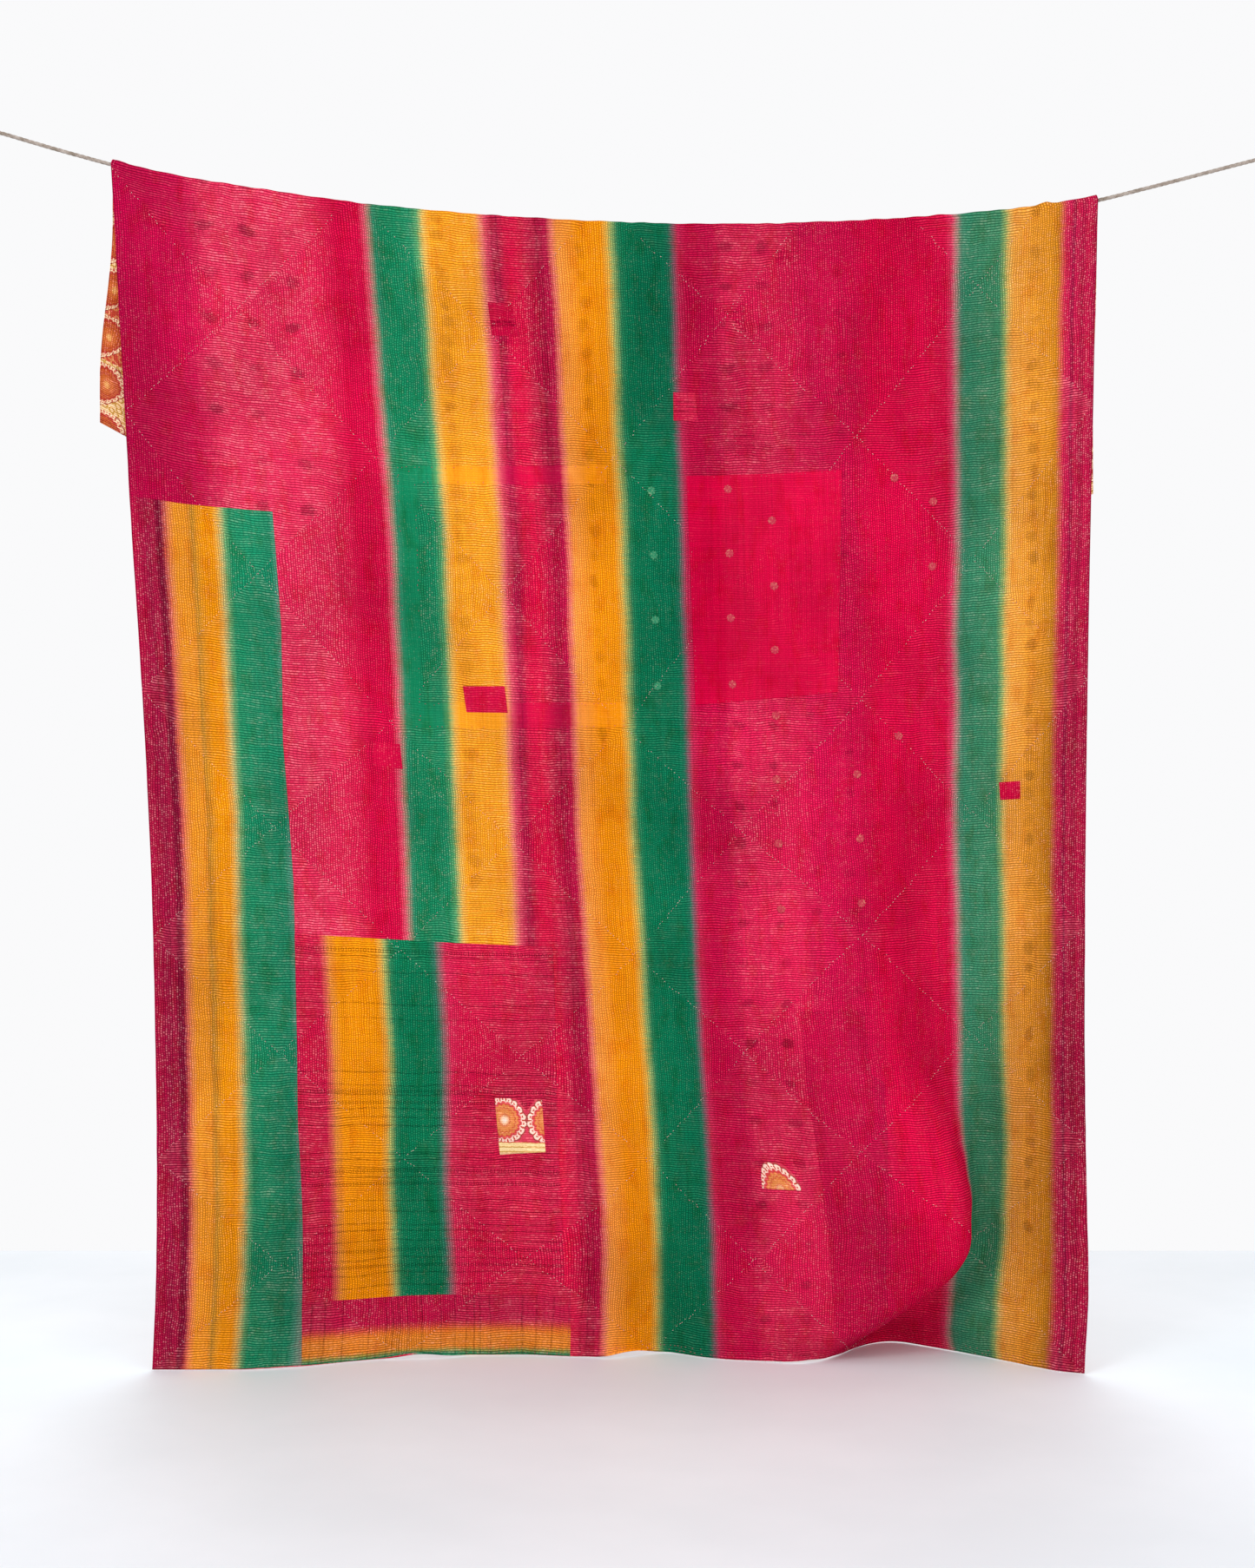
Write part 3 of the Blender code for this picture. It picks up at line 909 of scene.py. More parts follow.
@dataclass(frozen=True)
class DippedCotton:
    """Handloom cotton, dip-dyed in stripes whose borders bleed, and covered in rows of running stitch.

    Cotton scatters light with no gloss. The pale thread lies on the cloth between dimples, and the cloth
    puffs up between the rows. A painted highlight on each stitch and painted shade between the stitches
    and rows are laid into the colour.
    """

    name: str
    # Places in millimetres and colours
    dye: tuple[tuple[float, str], ...]
    run: Run = Run.ACROSS
    lean: float = 0.0
    lean_from: float = 0.0
    # How worn the thread is at places in millimetres: the share of its faded colour
    thread: tuple[tuple[float, float], ...] = evenly(0.2)
    stitched: float = 1.0
    # Woven spots, in metres: across from, to, first one down, last one, pitch across, pitch down, half width,
    # half height, depth
    spots: tuple[tuple[float, ...], ...] = ()
    # Areas of painted shade, in metres: middle across, middle down, half width, half height, depth
    painted_shade_areas: tuple[tuple[float, float, float, float, float], ...] = ()
    # Dark lines of weft: down in millimetres, half width, depth
    weft_lines: tuple[tuple[float, float, float], ...] = ()
    warp_lines: tuple[tuple[float, float, float], ...] = ()
    # Rows of small woven rings and bars: down in millimetres, half height
    ring_rows: tuple[tuple[float, float], ...] = ()
    ring_depth: float = 0.42
    row_pitch: float = 0.0036
    long_stitch: float = 0.0066
    short_stitch: float = 0.0036
    # Painted highlight on a stitch and painted shade between two: how much brighter and darker the dye is made, in
    # rows that run across and down
    lit: tuple[float, float] = (0.40, 0.62)
    shaded: tuple[float, float] = (0.38, 0.30)
    # How much of a row's stitches shows between two of them, in rows that run across and down
    joined: tuple[float, float] = (0.62, 0.15)
    thread_colour: str = "#ffccc6"
    undyed: float = 0.22

    def build(self) -> Material:
        """Makes the material.

        Returns:
            The material; it reads the maps flat, in metres, and blocks.
        """
        made, tree = blank_material(self.name)
        place = add(tree, "UVMap", uv_map="flat")
        u, v = (add(tree, "SeparateXYZ", (place,), axis) for axis in "XY")
        dyed = self.dyed(tree, place, u, v)
        colour, height = self.running_stitch(tree, dyed, place, u, v)
        colour = self.woven(tree, colour, place, u, v)
        weave = add(tree, "TexNoise 2D", {"Vector": place, "Scale": 900.0})
        height = add(tree, "Math MULTIPLY_ADD", (weave, 0.16, height))
        dress(tree, colour, (height, 0.8, 0.0007), Roughness=0.9, Specular_IOR_Level=0.0)
        return made

    def ramp(self, tree: Tree, at: Socket, stops: tuple[tuple[float, str | tuple], ...]) -> Socket:
        """Reads a long list of stops: ramps of up to 30 stops each, joined where one hands over to the next.

        Args:
            tree: the node tree.
            at: the place in metres.
            stops: places in millimetres and colours.

        Returns:
            The colour.
        """
        out = None
        for first in range(0, len(stops), 29):
            part = stops[first : first + 30]
            if len(part) < 2:
                break
            low, high = part[0][0] * MM, part[-1][0] * MM
            share = add(tree, "MapRange", (at, low, high))
            placed = [((mm * MM - low) / (high - low), colour) for mm, colour in part]
            read = add(tree, "ValToRGB", (share,), stops=placed)
            if out is None:
                out = read
            else:
                past = add(tree, "Math GREATER_THAN", (at, low))
                out = add(tree, "Mix RGBA", {0: past, 6: out, 7: read}, 2)
        return out

    def dyed(self, tree: Tree, place: Socket, u: Socket, v: Socket) -> Socket:
        """Colours the cloth by its stripes, with wandering and feathered borders and uneven dye.

        Args:
            tree: the node tree.
            place: the flat place.
            u: place across.
            v: place down.

        Returns:
            The colour.
        """
        along = v if self.run is Run.ACROSS else u
        across = u if self.run is Run.ACROSS else v
        tilt = add(tree, "Math MULTIPLY_ADD", (along, -self.lean, self.lean * self.lean_from))
        across = add(tree, "Math ADD", (across, tilt))
        feathered = (34.0, 620.0) if self.run is Run.ACROSS else (620.0, 34.0)
        for scale, reach in (((5.0, 5.0), 0.009), (feathered, 0.007), ((150.0, 150.0), 0.003)):
            noise = stretched(tree, place, *scale, 1.5)
            shift = add(tree, "Math MULTIPLY_ADD", (noise, reach, -reach / 2))
            across = add(tree, "Math ADD", (across, shift))
        colour = self.ramp(tree, across, self.dye)
        # Uneven dye in large blots, then the warp's and the weft's slubs
        unevenness = ((7.0, 4.0, 0.84, 1.14), (420.0, 3.0, 0.90, 1.09), (4.0, 380.0, 0.93, 1.06))
        for scale_u, scale_v, low, high in unevenness:
            colour = mottled(tree, colour, stretched(tree, place, scale_u, scale_v, 3.0), low, high)
        # Painted shade: the colour darkens towards the hem, where the cloth slopes in and turns away from the light
        low = add(tree, "MapRange SMOOTHSTEP", (v, 1.35, 1.80, 1.0, 0.92))
        colour = add(tree, "VectorMath SCALE", {0: colour, 3: low})
        # Painted shade: the colour is darkened in soft areas where shade falls on the hanging cloth
        for middle_u, middle_v, half_u, half_v, depth in self.painted_shade_areas:
            size = (1 / half_u, 1 / half_v, 1.0)
            offset = add(tree, "VectorMath SUBTRACT", (place, (middle_u, middle_v, 0.0)))
            offset = add(tree, "VectorMath MULTIPLY", (offset, size))
            away = add(tree, "VectorMath LENGTH", (offset,), "Value")
            left_over = add(tree, "MapRange SMOOTHSTEP", (away, 0.0, 1.0, 1.0 - depth, 1.0))
            colour = add(tree, "VectorMath SCALE", {0: colour, 3: left_over})
        # Washed-in stains, which take more of the green and the blue
        stain = add(tree, "MapRange", (stretched(tree, place, 48.0, 22.0, 4.0), 0.50, 0.72, 0.0, 0.8))
        stained = add(tree, "VectorMath MULTIPLY", (colour, (0.90, 0.76, 0.60)))
        return add(tree, "Mix RGBA", {0: stain, 6: colour, 7: stained}, 2)

    def woven(self, tree: Tree, plain: Socket, place: Socket, u: Socket, v: Socket) -> Socket:
        """Darkens the cloth where spots, lines and rows of rings are woven in.

        Args:
            tree: the node tree.
            plain: the cloth's colour.
            place: the flat place.
            u: place across.
            v: place down.

        Returns:
            The colour.
        """
        dark = None
        if self.spots:
            drifted = warped(tree, place, 21.0, 2.0, 0.022)
            spot_u, spot_v = (add(tree, "SeparateXYZ", (drifted,), axis) for axis in "XY")
        for left, right, first, last, pitch_u, pitch_v, half_u, half_v, depth in self.spots:
            cells, numbers = [], []
            axes = ((spot_u, left, pitch_u, half_u), (spot_v, first - pitch_v / 2, pitch_v, half_v))
            for at, start, pitch, half in axes:
                count = add(tree, "Math MULTIPLY_ADD", (at, 1 / pitch, -start / pitch))
                inside = add(tree, "Math FRACT", (count,))
                numbers.append(add(tree, "Math FLOOR", (count,)))
                cells.append(add(tree, "Math MULTIPLY_ADD", (inside, pitch / half, -0.5 * pitch / half)))
            cell = add(tree, "CombineXYZ", cells)
            away = add(tree, "VectorMath LENGTH", (cell,), "Value")
            rag = add(tree, "TexNoise 2D", {"Vector": place, "Scale": 330.0})
            ragged = add(tree, "Math MULTIPLY_ADD", (rag, 0.9, away))
            spot = add(tree, "MapRange", (ragged, 1.55, 1.15, 0.0, depth))
            number = add(tree, "CombineXYZ", numbers)
            chance = add(tree, "TexWhiteNoise 2D", (number,))
            worn = add(tree, "MapRange", (chance, 0.0, 1.0, 0.45, 1.45))
            spot = add(tree, "Math MULTIPLY", (spot, worn))
            zone = add(tree, "Math COMPARE", (u, (left + right) / 2, (right - left) / 2))
            spot = add(tree, "Math MULTIPLY", (spot, zone))
            above_last = add(tree, "Math LESS_THAN", (v, last + pitch_v / 2))
            spot = add(tree, "Math MULTIPLY", (spot, above_last))
            dark = spot if dark is None else add(tree, "Math MAXIMUM", (dark, spot))
        for at, lines in ((v, self.weft_lines), (u, self.warp_lines)):
            if not lines:
                continue
            shift = add(tree, "Math MULTIPLY_ADD", (stretched(tree, place, 9.0, 9.0, 2.0), 0.012, -0.006))
            swaying = add(tree, "Math ADD", (at, shift))
            stops = []
            for mm, half, depth in lines:
                black, grey = (0, 0, 0, 1), (depth, depth, depth, 1)
                edges = ((-1.6, black), (-0.6, grey), (0.6, grey), (1.6, black))
                stops += [(mm + half * share, tone) for share, tone in edges]
            line = self.ramp(tree, swaying, stops)
            gaps = add(tree, "TexNoise 2D", {"Vector": place, "Scale": 120.0})
            broken = add(tree, "MapRange", (gaps, 0.35, 0.6, 0.35, 1.0))
            line = add(tree, "Math MULTIPLY", (line, broken))
            dark = line if dark is None else add(tree, "Math MAXIMUM", (dark, line))
        for mm, half in self.ring_rows:
            rings = self.rings(tree, u, v, mm * MM, half * MM)
            dark = rings if dark is None else add(tree, "Math MAXIMUM", (dark, rings))
        if dark is None:
            return plain
        left_over = add(tree, "Math SUBTRACT", (1.0, dark))
        return add(tree, "VectorMath SCALE", {0: plain, 3: left_over})

    def rings(self, tree: Tree, u: Socket, v: Socket, middle: float, half: float) -> Socket:
        """Draws a row of rings with a bar between each two.

        A ring is where the distance from a cell's middle is near 0.62 of half; a bar is the cell's border.

        Args:
            tree: the node tree.
            u: place across.
            v: place down.
            middle: how far down the row lies.
            half: half its height.

        Returns:
            How dark it is: 0, or ring_depth on a ring or a bar.
        """
        pitch = half * 3.4
        count = add(tree, "Math MULTIPLY", (u, 1 / pitch))
        cell = add(tree, "Math FRACT", (count,))
        x = add(tree, "Math MULTIPLY_ADD", (cell, pitch / half, -0.5 * pitch / half))
        y = add(tree, "Math MULTIPLY_ADD", (v, 1 / half, -middle / half))
        away = add(tree, "VectorMath LENGTH", (add(tree, "CombineXYZ", (x, y)),), "Value")
        ring = add(tree, "Math COMPARE", (away, 0.62, 0.22))
        beside = add(tree, "Math ABSOLUTE", (x,))
        bar = add(tree, "Math COMPARE", (beside, pitch / half / 2, 0.28))
        either = add(tree, "Math MAXIMUM", (ring, bar))
        inside = add(tree, "Math COMPARE", (v, middle, half))
        return add(tree, "Math MULTIPLY", (add(tree, "Math MULTIPLY", (either, inside)), self.ring_depth))

    def running_stitch(
        self, tree: Tree, dyed: Socket, place: Socket, u: Socket, v: Socket
    ) -> tuple[Socket, Socket]:
        """Lays the rows of stitches over the colour.

        Rows run across in a block's upper and lower quarters and down in its side ones. The puff between
        two rows is a squared sine. A stitch is where the row's line meets the dash of its own wave. The dye
        is brightened on a stitch as a painted highlight, some stitches get painted glints, and the ground
        between stitches and rows is darkened as painted shade.

        Args:
            tree: the node tree.
            dyed: the cloth's colour.
            place: the flat place.
            u: place across.
            v: place down.

        Returns:
            The colour and the height, about 0 to 1.
        """
        block = add(tree, "UVMap", uv_map="blocks")
        side, upright = (add(tree, "Math ABSOLUTE", (add(tree, "SeparateXYZ", (block,), k),)) for k in "XY")
        lying = add(tree, "Math GREATER_THAN", (upright, side))
        sway = add(tree, "TexNoise 2D", {"Vector": place, "Scale": 15.0, "Detail": 2.5})
        shift = add(tree, "Math MULTIPLY_ADD", (sway, 3.0, -1.5))
        rows_lying, rows_upright = (
            add(tree, "Math MULTIPLY_ADD", (at, 1 / self.row_pitch, shift)) for at in (v, u)
        )
        row = add(tree, "Mix", {0: lying, 2: rows_upright, 3: rows_lying})
        dashes_lying = add(tree, "Math MULTIPLY", (u, 1 / self.long_stitch))
        dashes_upright = add(tree, "Math MULTIPLY", (v, 1 / self.short_stitch))
        count = add(tree, "Mix", {0: lying, 2: dashes_upright, 3: dashes_lying})
        wave = add(tree, "Math SINE", (add(tree, "Math MULTIPLY", (row, math.pi)),))
        puff = add(tree, "Math MULTIPLY", (wave, wave))
        line = add(tree, "MapRange SMOOTHSTEP", (puff, 0.86, 0.24))

        # Each row has its own pitch and start, and each stitch is a little long or short
        number = add(tree, "Math ROUND", (row,))
        chance = add(tree, "TexWhiteNoise 1D", {"W": number})
        own_pitch = add(tree, "Math MULTIPLY_ADD", (chance, 0.24, 0.88))
        paced = add(tree, "Math MULTIPLY", (count, own_pitch))
        row_start = add(tree, "Math MULTIPLY", (number, 0.618))
        paced = add(tree, "Math ADD", (paced, row_start))
        by_hand = add(tree, "CombineXYZ", (add(tree, "Math MULTIPLY", (number, 3.7)), count))
        by_hand = add(tree, "TexNoise 2D", {"Vector": by_hand, "Scale": 0.45, "Detail": 1.0})
        phase = add(tree, "Math MULTIPLY_ADD", (by_hand, 0.8, paced))
        dash_wave = add(tree, "Math SINE", (add(tree, "Math MULTIPLY", (phase, 2 * math.pi)),))
        edge = add(tree, "Mix", {0: lying, 2: -0.2, 3: -0.5})
        above = add(tree, "Math SUBTRACT", (dash_wave, edge))
        between = add(tree, "Mix", {0: lying, 2: self.joined[1], 3: self.joined[0]})
        dash = add(tree, "MapRange SMOOTHSTEP", (above, -0.5, 0.5, between, 1.0))
        stitch = add(tree, "Math MULTIPLY", (line, dash))
        each = add(tree, "CombineXYZ", (number, add(tree, "Math ADD", (phase, -0.25))))
        each = add(tree, "VectorMath ADD", (each, (0.0, 0.5, 0.0)))
        each = add(tree, "VectorMath FLOOR", (each,))
        each = add(tree, "TexWhiteNoise 2D", (each,))

        # Undyed thread shows through the dye by these shares, more on some rows and where it has worn
        strength = self.ramp(tree, u, [(mm, (value, value, value, 1.0)) for mm, value in self.thread])
        worn = add(tree, "TexNoise 2D", {"Vector": place, "Scale": 26.0, "Detail": 3.0})
        worn = add(tree, "MapRange", (worn, 0.3, 0.7, 0.5, 1.6))
        by_row = add(tree, "MapRange", (chance, 0.0, 1.0, 0.6, 1.4))
        # Painted glints: a few stitches that run down are bright and most are dull; those that run across vary less
        rare = add(tree, "Math POWER", (each, 3.0))
        few_painted_glints = add(tree, "MapRange", (rare, 0.0, 1.0, 0.16, 2.8))
        even_painted_glints = add(tree, "MapRange", (rare, 0.0, 1.0, 0.45, 1.7))
        painted_glint = add(tree, "Mix", {0: lying, 2: few_painted_glints, 3: even_painted_glints})
        for factor in (worn, by_row, painted_glint):
            strength = add(tree, "Math MULTIPLY", (strength, factor))
        # Painted light: the dye is brightened on a stitch as a painted highlight, and darkened on the ground between
        # stitches and rows as painted shade
        by_run = (self.lit, self.shaded)
        lift, fall = (add(tree, "Mix", {0: lying, 2: down, 3: across}) for across, down in by_run)
        brighter = add(tree, "Math MULTIPLY_ADD", (lift, self.stitched, 1.0))
        darker = add(tree, "Math MULTIPLY_ADD", (fall, -self.stitched, 1.0))
        lit = add(tree, "VectorMath SCALE", {0: dyed, 3: brighter})
        ground = add(tree, "VectorMath SCALE", {0: dyed, 3: darker})
        thread = [channel * self.undyed for channel in linear(self.thread_colour)[:3]]
        worn_thread = add(tree, "VectorMath ADD", (add(tree, "VectorMath SCALE", {0: dyed, 3: 1.45}), thread))
        pale = add(tree, "Mix RGBA", {0: strength, 6: lit, 7: worn_thread}, 2, clamp_factor=True)
        colour = add(tree, "Mix RGBA", {0: stitch, 6: ground, 7: pale}, 2)
        return colour, add(tree, "Math MULTIPLY", (stitch, self.stitched))


@dataclass(frozen=True)
class PrintedCotton:
    """Plain cotton, block-printed in paisleys with scalloped borders, softened by washing.

    The print lies in the cloth, so it has no relief of its own, only the stitches' puckers.
    """

    name: str = "block_printed_cotton"
    tile_width: float = 0.062
    tile_height: float = 0.086
    shift_u: float = 0.020
    shift_v: float = 0.034
    # Share of a tile by which every other column is lowered
    drop: float = 0.5
    bend: float = 0.55
    taper: float = 0.95
    beads: int = 18
    stitched: float = 1.0
    sprigs: tuple[str, str] = ("#b98636", "#cf7a4a")
    # Where a woven border starts, down from the rope, and its stripes: millimetres below, colour
    band: float | None = None
    band_stripes: tuple[tuple[float, str], ...] = (
        (0.0, "#b0522c"), (1.2, "#c98a4a"), (1.8, "#e9c98e"), (6.6, "#e8c88c"), (7.2, "#bd8c42"),
        (8.6, "#c2944c"), (9.2, "#eccf98"), (14.0, "#e9ca90"), (14.6, "#c99a56"), (16.2, "#c99a56"),
        (16.8, "#e2b888"), (24.0, "#e2b888"),
    )
    ground: tuple[str, str] = ("#e8bd8c", "#b8402e")
    # Rings of the paisley from its middle outwards: share of its half width, colour
    rings: tuple[tuple[float, str], ...] = (
        (0.00, "#dc9a5c"), (0.10, "#d2803c"), (0.15, "#b5482a"), (0.20, "#cc6a32"), (0.38, "#bf5826"),
        (0.43, "#a5301f"), (0.47, "#c0582e"), (0.57, "#bb5024"), (0.61, "#a52c22"), (0.69, "#b23528"),
        (0.73, "#e6bc96"), (0.90, "#e9c49c"), (0.93, "#8a261e"), (0.985, "#a3322a"),
    )
    vein: str = "#9c3a20"

    def build(self) -> Material:
        """Makes the material.

        A paisley is an ellipse whose half width shrinks with height and whose middle bends sideways. Its
        border is scalloped by the sine of its angle times the number of beads.

        Returns:
            The material; it reads the map flat, in metres.
        """
        made, tree = blank_material(self.name)
        place = add(tree, "UVMap", uv_map="flat")
        uneven = warped(tree, place, 160.0, 1.0, 0.0022)
        uneven_v = add(tree, "SeparateXYZ", (uneven,), "Y")
        figure, outside, down = self.paisley(tree, uneven)
        # The ground: cream with sprigs of gold leaves, red in broad bands
        leaves = add(tree, "TexVoronoi 2D", {"Vector": uneven, "Scale": 85.0, "Randomness": 0.8}, "Distance")
        leaf = add(tree, "Math COMPARE", (leaves, 0.36, 0.11))
        cream = add(tree, "Mix RGBA", {0: leaf, 6: linear(self.ground[0]), 7: linear(self.sprigs[0])}, 2)
        band_wave = add(tree, "Math MULTIPLY", (down, math.pi / 2))
        band = add(tree, "Math GREATER_THAN", (add(tree, "Math SINE", (band_wave,)), 0.10))
        red = add(tree, "Mix RGBA", {0: leaf, 6: linear(self.ground[1]), 7: linear(self.sprigs[1])}, 2)
        ground = add(tree, "Mix RGBA", {0: band, 6: cream, 7: red}, 2)
        colour = add(tree, "Mix RGBA", {0: outside, 6: figure, 7: ground}, 2)
        if self.band is not None:
            long = self.band_stripes[-1][0]
            share = add(tree, "MapRange", (uneven_v, self.band, self.band + long * MM))
            stops = [(mm / long, code) for mm, code in self.band_stripes]
            stripes = add(tree, "ValToRGB", (share,), stops=stops)
            under = add(tree, "Math GREATER_THAN", (uneven_v, self.band))
            colour = add(tree, "Mix RGBA", {0: under, 6: colour, 7: stripes}, 2)
        colour = mottled(tree, colour, stretched(tree, place, 9.0, 9.0, 3.0), 0.88, 1.08)
        colour = mottled(tree, colour, stretched(tree, place, 600.0, 30.0, 3.0), 0.90, 1.08)
        # The running stitch brings its painted highlights, painted glints and painted shade between rows here too
        stitches = DippedCotton(self.name, (), stitched=self.stitched * 0.6, thread=evenly(0.35))
        u, v = (add(tree, "SeparateXYZ", (place,), axis) for axis in "XY")
        colour, height = stitches.running_stitch(tree, colour, place, u, v)
        dress(tree, colour, (height, 0.7, 0.0011), Roughness=0.9, Specular_IOR_Level=0.0)
        return made

    def paisley(self, tree: Tree, uneven: Socket) -> tuple[Socket, Socket, Socket]:
        """Draws the paisleys, one a tile, mirrored on every other column.

        Args:
            tree: the node tree.
            uneven: the flat place, a little warped.

        Returns:
            The figure's colour, 1 outside it, and the place down counted in tiles.
        """
        tiles = []
        sizes = ((self.tile_width, self.shift_u), (self.tile_height, self.shift_v))
        for axis, (size, shift) in zip("XY", sizes):
            at = add(tree, "SeparateXYZ", (uneven,), axis)
            tiles.append(add(tree, "Math MULTIPLY_ADD", (at, 1 / size, shift / size)))
        across, down = tiles
        column = add(tree, "Math FLOOR", (across,))
        odd = add(tree, "Math FRACT", (add(tree, "Math MULTIPLY", (column, 0.5)),))
        down = add(tree, "Math MULTIPLY_ADD", (odd, 2 * self.drop, down))
        x, y = (
            add(tree, "Math MULTIPLY_ADD", (add(tree, "Math FRACT", (at,)), 2.0, low))
            for at, low in ((across, -1.0), (down, -1.12))
        )
        flip = add(tree, "Math MULTIPLY_ADD", (odd, 4.0, -1.0))
        x = add(tree, "Math MULTIPLY", (x, flip))
        # The tip, at negative y, narrows and leans aside
        above = add(tree, "Math MAXIMUM", (add(tree, "Math MULTIPLY", (y, -1.0)), 0.0))
        leaning = add(tree, "Math MULTIPLY", (above, above))
        x = add(tree, "Math MULTIPLY_ADD", (leaning, -self.bend, x))
        narrowing = add(tree, "Math MULTIPLY_ADD", (above, self.taper, 1.0))
        x = add(tree, "Math MULTIPLY", (x, narrowing))
        both = add(tree, "CombineXYZ", (x, y))
        away = add(tree, "VectorMath LENGTH", (both,), "Value")
        angle = add(tree, "Math ARCTAN2", (y, x))
        petal = add(tree, "Math SINE", (add(tree, "Math MULTIPLY", (angle, self.beads / 2)),))
        petal = add(tree, "Math ABSOLUTE", (petal,))
        scalloped = add(tree, "Math MULTIPLY_ADD", (petal, -0.075, away))
        figure = add(tree, "ValToRGB", (scalloped,), stops=self.rings)
        # Between two beads the red ground shows, and each bead has a red heart
        between = add(tree, "Math LESS_THAN", (petal, 0.34))
        heart = add(tree, "Math GREATER_THAN", (petal, 0.93))
        in_ring = add(tree, "Math COMPARE", (scalloped, 0.84, 0.075))
        in_heart = add(tree, "Math COMPARE", (scalloped, 0.785, 0.03))
        for shape, zone in ((between, in_ring), (heart, in_heart)):
            notch = add(tree, "Math MULTIPLY", (shape, zone))
            figure = add(tree, "Mix RGBA", {0: notch, 6: figure, 7: linear("#b23a2c")}, 2)
        swirl = {"Vector": both, "Scale": 5.5, "Distortion": 3.5, "Detail": 1.0}
        veins = add(tree, "TexWave RINGS", swirl, "Fac")
        vein = add(tree, "MapRange", (veins, 0.70, 0.84, 0.0, 0.7))
        in_body = add(tree, "Math COMPARE", (scalloped, 0.42, 0.2))
        vein = add(tree, "Math MULTIPLY", (vein, in_body))
        figure = add(tree, "Mix RGBA", {0: vein, 6: figure, 7: linear(self.vein)}, 2)
        outside = add(tree, "Math GREATER_THAN", (scalloped, 0.985))
        return figure, outside, down


@dataclass(frozen=True)
class CottonThread:
    """Thick soft cotton thread, off-white, dull, with a little of the dye in it."""

    name: str = "cotton_thread"
    dark: str = "#d98d9a"
    colour: str = "#eec9bd"
    light: str = "#f7e6dc"
    # How many blotches of tone there are in a metre
    blotches: float = 55.0

    def build(self) -> Material:
        """Makes the material; it reads Object coordinates."""
        made, tree = blank_material(self.name)
        place = add(tree, "TexCoord", (), "Object")
        noise = add(tree, "TexNoise", {"Vector": place, "Scale": self.blotches})
        stops = [(0.3, self.dark), (0.55, self.colour), (0.8, self.light)]
        tone = add(tree, "ValToRGB", (noise,), stops=stops)
        fibre = add(tree, "TexNoise", {"Vector": place, "Scale": 1500.0})
        dress(tree, tone, (fibre, 0.5, 0.0002), Roughness=0.85, Specular_IOR_Level=0.1)
        return made


@dataclass(frozen=True)
class TwistedJute:
    """Three-strand jute rope: dry grey-beige bast fibre, dull, its yarns lying slantwise on each strand."""

    name: str = "twisted_jute"
    yarn: float = 0.0013

    def build(self) -> Material:
        """Makes the material; it reads the map lay, in metres along and round."""
        made, tree = blank_material(self.name)
        lay = add(tree, "UVMap", uv_map="lay")
        along, around = (add(tree, "SeparateXYZ", (lay,), axis) for axis in "XY")
        slant = add(tree, "Math MULTIPLY_ADD", (along, -0.55, around))
        fibre_noise = add(tree, "TexNoise 2D", {"Vector": lay, "Scale": 900.0, "Detail": 3.0})
        slant = add(tree, "Math MULTIPLY_ADD", (fibre_noise, 0.0006, slant))
        phase = add(tree, "Math MULTIPLY", (slant, 2 * math.pi / self.yarn))
        wave = add(tree, "Math SINE", (phase,))
        blotch = add(tree, "TexNoise 2D", {"Vector": lay, "Scale": 70.0, "Detail": 4.0})
        tone = add(tree, "ValToRGB", (blotch,), stops=[(0.3, "#a69687"), (0.5, "#bfaea2"), (0.72, "#d4c6bb")])
        # Painted shade: the colour darkens in the grooves between the yarns, along the same wave as the bump
        dark = add(tree, "MapRange", (wave, -1.0, 1.0, 0.74, 1.04))
        tone = add(tree, "VectorMath SCALE", {0: tone, 3: dark})
        fuzz = add(tree, "Math MULTIPLY_ADD", (fibre_noise, 0.8, wave))
        dress(tree, tone, (fuzz, 0.8, 0.0005), Roughness=0.92, Specular_IOR_Level=0.2)
        return made


@dataclass(frozen=True)
class ZincPlatedSteel:
    """Zinc-plated mild steel: satin, slightly mottled where the plating's crystals differ."""

    name: str = "zinc_plated_steel"

    def build(self) -> Material:
        """Makes the material; it reads Object coordinates."""
        made, tree = blank_material(self.name)
        place = add(tree, "TexCoord", (), "Object")
        crystals = add(tree, "TexNoise", {"Vector": place, "Scale": 240.0, "Detail": 4.0})
        tone = add(tree, "ValToRGB", (crystals,), stops=[(0.3, "#a9adb0"), (0.7, "#c9ccce")])
        rough = add(tree, "MapRange", (crystals, 0.3, 0.7, 0.30, 0.46))
        grain = add(tree, "TexNoise", {"Vector": place, "Scale": 1400.0})
        dress(tree, tone, (grain, 0.25, 0.0002), Roughness=rough, Metallic=1.0)
        return made


@dataclass(frozen=True)
class PaintedFloor:
    """White floor paint on concrete, matt, with faint scuffs."""

    name: str = "painted_floor"

    def build(self) -> Material:
        """Makes the material; it reads Object coordinates."""
        made, tree = blank_material(self.name)
        place = add(tree, "TexCoord", (), "Object")
        cloudy = add(tree, "TexNoise", {"Vector": place, "Scale": 2.2, "Detail": 6.0})
        tone = add(tree, "ValToRGB", (cloudy,), stops=[(0.35, "#e2e9ee"), (0.65, "#ebf1f6")])
        dress(tree, tone, None, Roughness=0.6)
        return made


